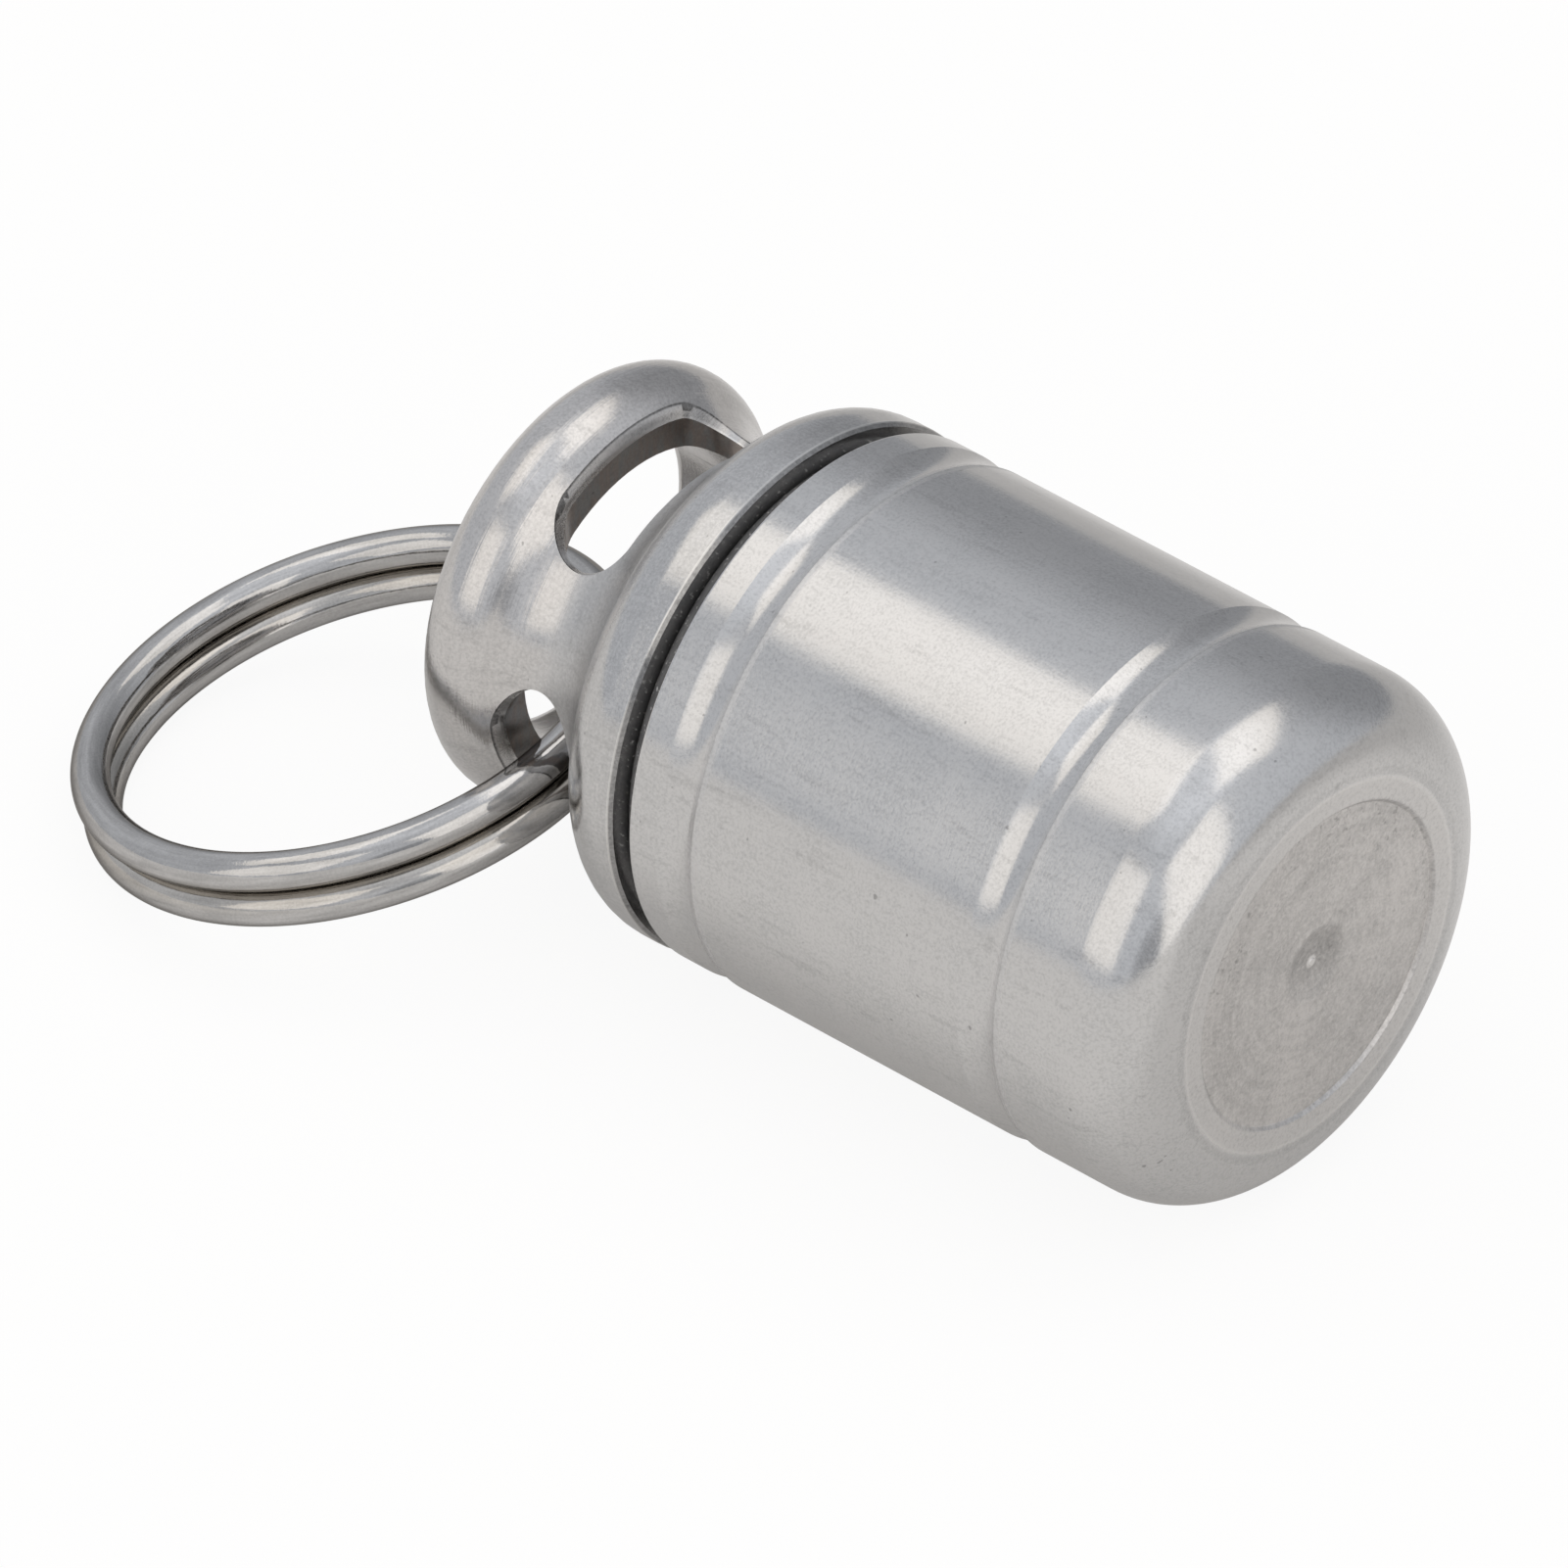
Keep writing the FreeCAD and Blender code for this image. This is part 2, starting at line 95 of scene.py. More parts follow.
FLOOR = 1.6
PLUG = SOCKET - 0.05
PLUG_END = SOCKET_END + 0.3
RELIEF = PLUG - 0.3
PITCH = 1.0
SEAT = RIM + 0.64
print("canister", 2 * SIDE, "mm across, rim at", RIM, "mm, flange at", SEAT, "mm")

# %% [markdown]
# ## Helpers for turned outlines
#
# A lathe leaves straight runs and round corners. Both are lists of (r, y) points here, and a whole
# outline is those lists end to end. Round corners get a point every few degrees, because a metal
# surface shows every flat in its reflections.

# %% Straight runs and round corners


def run(start, end, count=2):
    """Points on a straight line: start + t (end - start), with t from 0 to 1.

    Two more points lie close to the ends, so that a corner next to the run doesn't bend its shading.
    """
    span = np.array(end) - np.array(start)
    near = min(0.02 / np.linalg.norm(span), 0.2)
    t = np.sort(np.concatenate([np.linspace(0.0, 1.0, count), [near, 1 - near]]))[:, None]
    return np.array(start) + t * span


def corner(centre, radius, begin, finish, count):
    """Points on an arc: the centre plus radius times (cos a, sin a), a in degrees from begin to finish."""
    a = np.radians(np.linspace(begin, finish, count))
    return np.array(centre) + radius * np.stack([np.cos(a), np.sin(a)], axis=1)


def dished(middle, half, depth, count):
    """A shallow groove in the side: an arc through both edges that is depth deep in the middle."""
    radius = (half**2 + depth**2) / (2 * depth)
    swing = math.degrees(math.asin(half / radius))
    return corner((SIDE - depth + radius, middle), radius, 180 + swing, 180 - swing, count)


def outline(*parts):
    """The parts joined into one list, without points that repeat."""
    line = np.concatenate(parts)
    step = np.linalg.norm(np.diff(line, axis=0), axis=1)
    return line[np.concatenate([[True], step > 1e-6])]


print("helpers ready")

# %% [markdown]
# ## From a grid to a mesh
#
# Every surface is an array of rows and columns of points. Neighbouring points make four-sided faces,
# and the face list follows from the row and column numbers alone. A row that has shrunk to one point,
# as at the axis, is a pole, and merging its doubles closes it. The distance along the outline is kept
# as an attribute, because turning marks follow it.

# %% A surface from a grid of points
COLUMNS = 192


def surface(name, points, along, wrap_rows=False, sharp=22.0):
    """A mesh object from points[row, column, xyz] in millimetres, closed around its columns."""
    rows, columns = points.shape[:2]
    row = np.arange(rows if wrap_rows else rows - 1)[:, None]
    column = np.arange(columns)[None, :]
    after_row = (row + 1) % rows
    after_column = (column + 1) % columns
    ring = [row * columns + column, row * columns + after_column,
            after_row * columns + after_column, after_row * columns + column]
    faces = np.stack(np.broadcast_arrays(*ring), axis=-1).reshape(-1, 4)
    mesh = bpy.data.meshes.new(name)
    mesh.from_pydata((points.reshape(-1, 3) * MM).tolist(), [], faces.tolist())
    marks = mesh.attributes.new("along", "FLOAT", "POINT")
    marks.data.foreach_set("value", np.repeat(along, columns).astype(np.float32))
    return finished(name, mesh, sharp)


def finished(name, mesh, sharp):
    """Merges doubled points, turns the faces outwards and shades them smooth up to the sharp angle."""
    work = bmesh.new()
    work.from_mesh(mesh)
    bmesh.ops.remove_doubles(work, verts=work.verts, dist=1e-8)
    bmesh.ops.recalc_face_normals(work, faces=work.faces)
    work.to_mesh(mesh)
    work.free()
    mesh.polygons.foreach_set("use_smooth", np.ones(len(mesh.polygons), bool))
    mesh.set_sharp_from_angle(angle=math.radians(sharp))
    piece = bpy.data.objects.new(name, mesh)
    bpy.context.scene.collection.objects.link(piece)
    print(name, "has", len(mesh.polygons), "faces")
    return piece


def around(radius, height, columns=COLUMNS):
    """Turns an outline about the axis: (r cos a, y, r sin a), where r may change with the angle too."""
    a = np.linspace(0.0, 2 * np.pi, columns, endpoint=False)[None, :]
    radius, height = np.broadcast_arrays(radius, height + 0 * a)
    return np.stack([radius * np.cos(a), height, radius * np.sin(a)], axis=-1)


def travelled(line):
    """The distance along an outline at each of its points."""
    return np.concatenate([[0.0], np.cumsum(np.linalg.norm(np.diff(line, axis=0), axis=1))])


print("turned surfaces have", COLUMNS, "columns round the axis")

# %% [markdown]
# ## The screw thread
#
# The CAD model holds a plain plug in a plain socket at the pitch diameter. Here both get their real
# turns. A thread is a wave along the axis that moves on by one pitch for each turn, so its phase is
# y / pitch + angle / full turn. The same wave on plug and socket keeps them in mesh while the cap
# unscrews. At its ends the plug's thread runs down to the root and the socket's opens out, as a
# chamfer does on the lathe.

# %% The thread as a wave
CREST = 0.24


def thread(radius, height, opens, low, high, run_out=0.45, columns=COLUMNS):
    """radius + crest * wave(y / pitch + a / 2 pi), the wave being a sine with flattened tops.

    Near the ends low and high the wave gives way to opens: +1 for the socket, -1 for the plug.
    """
    a = np.linspace(0.0, 2 * np.pi, columns, endpoint=False)[None, :]
    y = np.asarray(height)[:, None]
    phase = y / PITCH + a / (2 * np.pi)
    wave = np.tanh(1.5 * np.cos(2 * np.pi * phase)) / np.tanh(1.5)
    reach = np.clip(np.minimum(y - low, high - y) / run_out, 0.0, 1.0)
    return radius + CREST * (reach * wave + (1 - reach) * opens)


print("thread:", PITCH, "mm pitch, crests", CREST, "mm over the middle")

# %% [markdown]
# ## The canister
#
# A cup turned from one bar: a dished mark where the lathe centre held it, a shallow recess in the base,
# a round lower corner, two grip grooves and the threaded mouth. One outline runs from the axis under
# the base, up the side, over the rim and down inside to the axis again, and turning it closes the form.

# %% The canister's outline, turned
dimple_bow = (DIMPLE**2 + DIMPLE_DEPTH**2) / (2 * DIMPLE_DEPTH)
dimple_swing = math.degrees(math.asin(DIMPLE / dimple_bow))
dimple_mid = (0.0, DIMPLE_Y - dimple_bow)
low_groove, high_groove = (dished(middle, GROOVE_HALF, GROOVE_DEPTH, 15) for middle in GROOVES)
outside = outline(
    run((0.0, PIP_Y), (PIP, PIP_Y), 3),
    run((PIP + 0.03, PIP_Y + 0.03), (2 * PIP, DIMPLE_Y - 0.002), 3),
    corner(dimple_mid, dimple_bow, 90 - dimple_swing * 0.2, 90 - dimple_swing, 14),
    run((DIMPLE + 0.02, DISC_DEPTH), (DISC_EDGE - DISC_DEPTH - 0.02, DISC_DEPTH), 12),
    run((DISC_EDGE - DISC_DEPTH, DISC_DEPTH - 0.01), (DISC_EDGE - 0.01, 0.008), 4),
    run((DISC_EDGE + 0.02, 0.0), (BASE_FLAT, 0.0), 4),
    corner((BASE_FLAT, BASE_ROUND), BASE_ROUND, -90, 0, 31),
    run((SIDE, BASE_ROUND), (SIDE, GROOVES[0] - GROOVE_HALF), 4),
    low_groove,
    run((SIDE, GROOVES[0] + GROOVE_HALF), (SIDE, GROOVES[1] - GROOVE_HALF), 8),
    high_groove,
    run((SIDE, GROOVES[1] + GROOVE_HALF), (SIDE, RIM - EDGE), 4),
    corner((SIDE - EDGE, RIM - EDGE), EDGE, 0, 90, 13),
    run((SIDE - EDGE, RIM), (SOCKET_MOUTH, RIM), 4),
)
inside = outline(
    run((CHAMBER, SOCKET_END), (CHAMBER, FLOOR + CHAMBER_ROUND), 8),
    corner((CHAMBER - CHAMBER_ROUND, FLOOR + CHAMBER_ROUND), CHAMBER_ROUND, 0, -90, 13),
    run((CHAMBER - CHAMBER_ROUND, FLOOR), (0.0, FLOOR), 8),
)
socket_y = np.linspace(RIM - 0.06, SOCKET_END + 0.02, 150)
socket_r = thread(SOCKET, socket_y, 1.0, SOCKET_END, RIM)
canister_grid = np.concatenate([
    around(outside[:, :1], outside[:, 1:]),
    around(socket_r, socket_y[:, None]),
    around(inside[:, :1], inside[:, 1:]),
])
cup_line = np.concatenate([outside, np.stack([socket_r[:, 0], socket_y], axis=1), inside])
canister = surface("canister_cup", canister_grid, travelled(cup_line))
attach(canister, "canister")
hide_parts("canister")

# %% [markdown]
# ## The seal
#
# A rubber ring, squeezed flat between rim and flange, so that only its free sides still bulge. Its
# section is a closed loop, and turning a closed loop gives a ring with no ends to close.

# %% The seal's section, turned
SEAL_IN = RELIEF + 0.03
SEAL_OUT = SIDE - 0.6
BULGE = 0.34
SEAL_CLEAR = 0.004
seal_mid = (RIM + SEAT) / 2
seal_half = (SEAT - RIM) / 2 - SEAL_CLEAR
bow = (seal_half**2 + BULGE**2) / (2 * BULGE)
bow_swing = 180 - math.degrees(math.asin(seal_half / bow))
section = outline(
    corner((SEAL_OUT - bow, seal_mid), bow, -bow_swing, bow_swing, 25),
    corner((SEAL_IN + bow, seal_mid), bow, 180 - bow_swing, 180 + bow_swing, 25),
)
seal = surface("seal_ring", around(section[:, :1], section[:, 1:]), travelled(section), wrap_rows=True)
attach(seal, "seal")
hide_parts("o_ring")

# %% [markdown]
# ## The cap
#
# Its head is a turned ring with windows milled through the waist, and each window's edge is broken. A
# boolean in Blender could cut them, but the CAD model has them exactly, so the piece starts from a
# merged copy of that mesh. A CAD mesh is many flat triangles, which a shiny part would show. The cure
# is to work out the true direction of the turned surface at every corner of every triangle: for a
# point on an arc of the outline it points away from the arc's centre, or towards it in the waist.

# %% The circles of the cap's outline
SHOULDER = (SIDE - 1.82, SEAT + 0.68)
SHOULDER_ROUND = 1.82
FLOOR_EYE = SEAT + 3.6
WINDOW_LOW = FLOOR_EYE + 0.3
WINDOW_TOP = WINDOW_LOW + 2.1
HEAD = (SIDE - 2.88, WINDOW_TOP + 1.36)
HEAD_ROUND = 1.45
EYE = HEAD[0] - 0.42
EYE_EDGE = 0.5
NECK = EYE + 0.71


def waist_circle():
    """The circle that touches the shoulder's circle, the rim's circle and the neck's line r = NECK.

    With both circles touched, the height t above the shoulder's centre solves a quadratic equation,
    and the radius is t squared over twice the shoulder's overhang, less half of the rest.
    """
    past_side = SIDE - NECK
    past_rim = HEAD[0] + HEAD_ROUND - NECK
    rise = HEAD[1] - SHOULDER[1]
    reach = rise**2 + past_rim * (HEAD[0] + SHOULDER_ROUND - SHOULDER[0] - HEAD_ROUND)
    t = reach / (rise + math.sqrt(rise**2 - reach * (past_side - past_rim) / past_side))
    radius = t**2 / (2 * past_side) - (NECK - SHOULDER[0] + SHOULDER_ROUND) / 2
    return (NECK + radius, SHOULDER[1] + t), radius


WAIST, WAIST_ROUND = waist_circle()
mouth_in = HEAD[0] - EYE - EYE_EDGE
MOUTH = (EYE + EYE_EDGE, HEAD[1] + math.sqrt((HEAD_ROUND - EYE_EDGE)**2 - mouth_in**2))
print("waist radius", round(WAIST_ROUND, 3), "mm")

# %% Where each arc begins, and the length along the outline up to there


def heading(centre, other):
    """The angle in radians at which one circle's centre sees another's; the circles touch on that line."""
    return math.atan2(other[1] - centre[1], other[0] - centre[0])


WAIST_FROM = heading(SHOULDER, WAIST)
HEAD_FROM = heading(HEAD, WAIST)
MOUTH_FROM = heading(HEAD, MOUTH)
WAIST_START = SHOULDER[1] + SHOULDER_ROUND * WAIST_FROM
HEAD_START = WAIST_START + WAIST_ROUND * (WAIST_FROM - HEAD_FROM)
MOUTH_START = HEAD_START + HEAD_ROUND * (MOUTH_FROM - HEAD_FROM)
starts = np.round([WAIST_START, HEAD_START, MOUTH_START], 2)
print("length along the outline up to waist, head and mouth:", starts)

# %% The direction of the turned surface at any point
FAR_OFF = 9.0
TOUCH = 1e-3
PLUG_HOLLOW = PLUG - 1.35
HOLLOW_END = SEAT + 1.7


def arc_guide(r, y, centre, radius, out, low, high, begin=0.0, start=0.0):
    """Distance from an arc, its direction (away from the centre, times out) and the length along it.

    The arc begins at the angle begin, where the length is start, and the length grows along the outline.
    """
    dr, dy = r - centre[0], y - centre[1]
    swept = (np.arctan2(dy, dr) - begin + np.pi) % (2 * np.pi) - np.pi
    reach = np.hypot(dr, dy) + 1e-12
    off = np.abs(reach - radius) + FAR_OFF * ((y < low - TOUCH) | (y > high + TOUCH))
    return np.stack([off, out * dr / reach, out * dy / reach, start + out * radius * swept])


def line_guide(r, y, off, nr, ny, length):
    """The same for a straight run, whose direction (nr, ny) is everywhere alike."""
    return np.stack([np.abs(off), nr + 0 * r, ny + 0 * r, length + 0 * r])


def turned_guide(r, y):
    """For each point, the nearest run or arc of the cap's outline: distance, direction, length along it."""
    top = HEAD[1] + HEAD_ROUND
    fillet = (EYE - EYE_EDGE, FLOOR_EYE + EYE_EDGE)
    past_mouth = np.zeros((4, len(r)))
    past_mouth[0] = FAR_OFF * (r > MOUTH[0])
    side = np.where(y < SHOULDER[1] + TOUCH, r - SIDE, FAR_OFF)
    bore = np.where(y > fillet[1] - 0.1, r - EYE, FAR_OFF)
    hollow = np.where(y < HOLLOW_END, r - PLUG_HOLLOW, FAR_OFF)
    guides = np.stack([
        line_guide(r, y, side, 1.0, 0.0, y),
        arc_guide(r, y, SHOULDER, SHOULDER_ROUND, 1.0, SHOULDER[1], WAIST[1], 0.0, SHOULDER[1]),
        arc_guide(r, y, WAIST, WAIST_ROUND, -1.0, SHOULDER[1], HEAD[1], WAIST_FROM + math.pi, WAIST_START),
        arc_guide(r, y, HEAD, HEAD_ROUND, 1.0, WAIST[1], top, HEAD_FROM, HEAD_START),
        arc_guide(r, y, MOUTH, EYE_EDGE, 1.0, HEAD[1], top, MOUTH_FROM, MOUTH_START) + past_mouth,
        line_guide(r, y, bore, -1.0, 0.0, y),
        arc_guide(r, y, fillet, EYE_EDGE, -1.0, FLOOR_EYE, fillet[1]),
        line_guide(r, y, y - FLOOR_EYE, 0.0, 1.0, r),
        line_guide(r, y, y - SEAT, 0.0, -1.0, r),
        line_guide(r, y, hollow, -1.0, 0.0, y),
    ])
    nearest = guides[:, 0].argmin(axis=0)
    return np.take_along_axis(guides, nearest[None, None, :], axis=0)[0]


off_side = turned_guide(np.array([SIDE]), np.array([SHOULDER[1]]))[0, 0]
print("a point on the flange's side lies", off_side, "mm off the outline")

# %% The direction of the milled walls
WINDOW_TURN = 94.0
WINDOW_ROUND = (WINDOW_TOP - WINDOW_LOW) / 2
WINDOW_HALF = 3.35
WINDOW_SPINE = WINDOW_HALF - WINDOW_ROUND


def window_guide(at):
    """Distance of points from the nearest window's wall, and the wall's direction, towards its spine.

    A window is a slot cut straight in: all points at one distance from a short straight spine.
    """
    turn = np.degrees(np.arctan2(at[:, 2], at[:, 0])) - WINDOW_TURN
    middle = np.radians(WINDOW_TURN + 120 * np.round(turn / 120))
    tangent = np.stack([-np.sin(middle), 0 * middle, np.cos(middle)], axis=1)
    u = (at * tangent).sum(axis=1)
    u = u - np.clip(u, -WINDOW_SPINE, WINDOW_SPINE)
    v = at[:, 1] - (WINDOW_LOW + WINDOW_TOP) / 2
    reach = np.hypot(u, v) + 1e-12
    direction = -(u / reach)[:, None] * tangent
    direction[:, 1] = -v / reach
    return np.abs(reach - WINDOW_ROUND), direction


print("windows", 2 * WINDOW_HALF, "mm wide and", round(2 * WINDOW_ROUND, 3), "mm high")

# %% A merged copy of the cap


def merged(node):
    """The node's triangles with doubled points merged: points in millimetres and corners."""
    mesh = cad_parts[node].data
    mesh.calc_loop_triangles()
    points = np.empty(len(mesh.vertices) * 3, np.float32)
    mesh.vertices.foreach_get("co", points)
    corners = np.empty(len(mesh.loop_triangles) * 3, np.int32)
    mesh.loop_triangles.foreach_get("vertices", corners)
    keys = np.round(points.reshape(-1, 3) / MM, 4)
    points, back = np.unique(keys, axis=0, return_inverse=True)
    corners = back.reshape(-1)[corners].reshape(-1, 3)
    whole = (corners != np.roll(corners, 1, axis=1)).all(axis=1)
    return points, corners[whole]


cap_points, cap_corners = merged("cap")
print("cap copy:", len(cap_points), "points,", len(cap_corners), "triangles")

# %% The plug's wall, cut down to the root of its thread
ROOT = PLUG - CREST - 0.02
cap_r = np.hypot(cap_points[:, 0], cap_points[:, 2])
on_plug = (cap_points[:, 1] < RIM - 0.1) & (cap_r > ROOT)
shrink = np.where(on_plug, ROOT / np.maximum(cap_r, 1e-9), 1.0)
cap_points[:, 0] *= shrink
cap_points[:, 2] *= shrink
print("plug points moved in:", int(on_plug.sum()))

# %% The cap's mesh
CREASE = 28.0
ON_SURFACE = 4e-3
ALIKE = 0.93
WINDOW_MARGIN = 0.5


def flat_directions(triangles):
    """The direction of each flat triangle: the cross product of two of its sides, made one long."""
    flat = np.cross(triangles[:, 1] - triangles[:, 0], triangles[:, 2] - triangles[:, 0])
    return flat / (np.linalg.norm(flat, axis=1, keepdims=True) + 1e-15)


def alike(first, second):
    """Where two lists of directions point nearly the same way."""
    return (first * second).sum(axis=1) > ALIKE


def all_three(corner_is):
    """For each triangle, whether something holds at all three of its corners."""
    return corner_is.reshape(-1, 3).all(axis=1)


def corner_values(mesh, name, values):
    """Writes a value for each corner of the mesh, for its finish to read."""
    layer = mesh.attributes.new(name, "FLOAT", "CORNER")
    layer.data.foreach_set("value", values.astype(np.float32))


def cap_mesh(name, points, corners):
    """The copy as a mesh whose corners carry the direction of the turned or milled surface they lie on."""
    mesh = bpy.data.meshes.new(name)
    mesh.from_pydata((points * MM).tolist(), [], corners.tolist())
    mesh.polygons.foreach_set("use_smooth", np.ones(len(corners), bool))
    mesh.set_sharp_from_angle(angle=math.radians(CREASE))
    normals = np.empty(len(corners) * 9, np.float32)
    mesh.corner_normals.foreach_get("vector", normals)
    flat = np.repeat(flat_directions(points[corners]), 3, axis=0)
    at = points[corners].reshape(-1, 3)
    r, y = np.hypot(at[:, 0], at[:, 2]), at[:, 1]
    off, nr, ny, length = turned_guide(r, y)
    spread = np.maximum(r, 1e-9)
    turned = np.stack([nr * at[:, 0] / spread, ny, nr * at[:, 2] / spread], axis=1)
    on_outline = all_three((off < ON_SURFACE) & alike(turned, flat))
    wall_off, milled = window_guide(at)
    on_wall = all_three((wall_off < ON_SURFACE) & alike(milled, flat)) & ~on_outline
    in_window = all_three((y > WINDOW_LOW - WINDOW_MARGIN) & (y < WINDOW_TOP + WINDOW_MARGIN))
    broken = in_window & ~on_outline & ~on_wall
    is_turned = np.repeat(on_outline, 3)
    is_milled = np.repeat(on_wall, 3)
    normals = np.where(is_milled[:, None], milled, normals.reshape(-1, 3))
    mesh.normals_split_custom_set(np.where(is_turned[:, None], turned, normals).tolist())
    corner_values(mesh, "milled", np.repeat(0.5 * broken + on_wall, 3))
    corner_values(mesh, "across", wall_off / (wall_off + off + 1e-6))
    corner_values(mesh, "along", np.where(is_turned, length, y))
    print(name, "triangles on the turned outline:", int(on_outline.sum()), "of", len(corners),
          "on window edges:", int(broken.sum()), "on window walls:", int(on_wall.sum()))
    return mesh


cap = bpy.data.objects.new("cap_head", cap_mesh("cap_head", cap_points, cap_corners))
bpy.context.scene.collection.objects.link(cap)
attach(cap, "cap")
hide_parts("cap")

# %% [markdown]
# The plug's thread is a sleeve over the copy's plug: its outer side carries the wave, and its inner
# side lies hidden in the plug's wall. It is turned as one closed loop.

# %% The thread on the plug
THREAD_TOP = RIM - 0.4
SLEEVE_WALL = 0.4
plug_y = np.linspace(PLUG_END + 0.02, THREAD_TOP - 0.02, 140)
plug_r = thread(PLUG, plug_y, -1.0, PLUG_END, THREAD_TOP)
inner = np.full((2, COLUMNS), ROOT - SLEEVE_WALL)
sleeve_r = np.concatenate([plug_r, inner])
sleeve_y = np.concatenate([plug_y, plug_y[[-1, 0]]])
sleeve_line = np.stack([sleeve_r[:, 0], sleeve_y], axis=1)
sleeve = around(sleeve_r, sleeve_y[:, None])
plug_thread = surface("plug_thread", sleeve, travelled(sleeve_line), wrap_rows=True, sharp=50.0)
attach(plug_thread, "cap")

# %% [markdown]
# ## The split ring
#
# One wire in two coils. Seen along the wire's angle, its height steps from the lower coil to the upper
# one in a short stretch, which the real ring hides where it passes the head. The wire is a circle
# carried along that line, with a small rounded edge at its two cut ends.

# %% Where the ring lies
WIRE = 0.56
COIL_GAP = 0.06
COIL_STEP = 2 * WIRE + COIL_GAP
RING = 7.6
JOG_LEN = 4.25
JOG_BACK = 2.54
HOOK_TURN = WINDOW_TURN + 120 - 5
HOOK_OUT = 0.7
HOOK_UP = 0.9
EXIT_TURN = HOOK_TURN + 94.2
EXIT_IN = 1.26
DIP = math.radians(15.4)
LEAN = math.radians(7.0)


def on_turn(radius, height, turn):
    """The point at this radius and height, turn degrees round the fob's axis."""
    a = math.radians(turn)
    return np.array([radius * math.cos(a), height, radius * math.sin(a)])


hook = on_turn(EYE + HOOK_OUT, WINDOW_LOW + HOOK_UP, HOOK_TURN)
leave = on_turn(EYE - EXIT_IN, HEAD[1] + HEAD_ROUND, EXIT_TURN)
chord = leave - hook
ring_up = np.array([-math.sin(LEAN), math.sin(DIP) * math.cos(LEAN), math.cos(DIP) * math.cos(LEAN)])
ring_up -= chord * (ring_up @ chord) / (chord @ chord)
ring_up /= np.linalg.norm(ring_up)
to_middle = np.cross(ring_up, chord) / np.linalg.norm(chord)
ring_middle = (hook + leave) / 2 + to_middle * math.sqrt(RING**2 - chord @ chord / 4)
spoke = (hook - ring_middle) / RING
beside = np.cross(ring_up, spoke)
print("ring's middle", ring_middle.round(3), "and its axis", ring_up.round(4))

# %% The wire along its two coils
mouth_angle = 2 * math.asin(np.linalg.norm(chord) / (2 * RING))
jog = JOG_LEN / RING
jog_from = mouth_angle - JOG_BACK / RING - jog / 2
wire_start = jog_from + jog
wire_end = jog_from + 4 * math.pi


def wire_line(angle):
    """The wire's middle: the ring's circle, lifted by a step of two parabolas.

    With t from 0 to 1 along the step they are 2 t^2 up to the half and 1 - 2 (1 - t)^2 after it.
    """
    t = np.clip((angle - jog_from - 2 * np.pi) / jog, 0.0, 1.0)
    step = np.where(t < 0.5, 2 * t**2, 1 - 2 * (1 - t)**2)
    height = COIL_STEP * (step - 0.5)
    circle = np.cos(angle)[:, None] * spoke + np.sin(angle)[:, None] * beside
    return ring_middle + RING * circle + height[:, None] * ring_up


def wire_surface(columns=40):
    """A circle carried along the wire; at the ends it shrinks over a quarter round and closes flat."""
    edge = 0.1
    quarter = np.radians(np.linspace(90, 0, 11))
    set_back = np.concatenate([[0.0, 0.0], edge * (1 - np.sin(quarter[1:]))])
    reach = np.concatenate([[0.0, WIRE - edge], WIRE - edge + edge * np.cos(quarter[1:])])
    body = np.linspace(wire_start + 1.5 * edge / RING, wire_end - 1.5 * edge / RING, 560)
    angle = np.concatenate([wire_start + set_back / RING, body, wire_end - set_back[::-1] / RING])
    size = np.concatenate([reach, np.full(len(body), WIRE), reach[::-1]])
    middle = wire_line(angle)
    ahead = wire_line(angle + 1e-4) - wire_line(angle - 1e-4)
    ahead /= np.linalg.norm(ahead, axis=1, keepdims=True)
    out = np.cos(angle)[:, None] * spoke + np.sin(angle)[:, None] * beside
    out -= ahead * (out * ahead).sum(axis=1, keepdims=True)
    out /= np.linalg.norm(out, axis=1, keepdims=True)
    up = np.cross(ahead, out)
    a = np.linspace(0.0, 2 * np.pi, columns, endpoint=False)
    spoke_of = np.cos(a)[None, :, None] * out[:, None] + np.sin(a)[None, :, None] * up[:, None]
    return middle[:, None] + size[:, None, None] * spoke_of, angle * RING


wire_points, wire_along = wire_surface()
wire = surface("ring_wire", wire_points, wire_along)
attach(wire, "split_ring")
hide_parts("split_ring")

# %% [markdown]
# ## Shader arithmetic
#
# A finish is a sum of small effects, and written as nodes that soon gets hard to read. The class below
# wraps a node's output, so that plain arithmetic on it adds the Math nodes by itself. Every other node
# comes from one method: its type, its settings and what goes into its sockets.

# %% Values that can be added and multiplied


class Value:
    """A node's output that takes part in arithmetic; each operation adds one Math node."""

    def __init__(self, finish, socket):
        self.finish = finish
        self.socket = socket

    def math(self, operation, first, second=0.0):
        return self.finish.node("ShaderNodeMath", {"operation": operation}, {0: first, 1: second})

    def __add__(self, other):
        return self.math("ADD", self, other)

    def __radd__(self, other):
        return self.math("ADD", other, self)

    def __sub__(self, other):
        return self.math("SUBTRACT", self, other)

    def __rsub__(self, other):
        return self.math("SUBTRACT", other, self)

    def __mul__(self, other):
        return self.math("MULTIPLY", self, other)

    def __rmul__(self, other):
        return self.math("MULTIPLY", other, self)

    def __pow__(self, other):
        return self.math("POWER", self, other)

    def magnitude(self):
        return self.math("ABSOLUTE", self)

    def swing(self, amount):
        """A random value from 0 to 1 as a gain or a loss of up to half the amount."""
        return (self - 0.5) * amount

    def rises(self, low, high):
        """0 below low, 1 above high and a smooth step between; low above high turns it round."""
        return self.finish.node(
            "ShaderNodeMapRange", {"interpolation_type": "SMOOTHSTEP"},
            {"Value": self, "From Min": low, "From Max": high, "To Min": 0.0, "To Max": 1.0})


print("values ready")

# %% A finish under construction


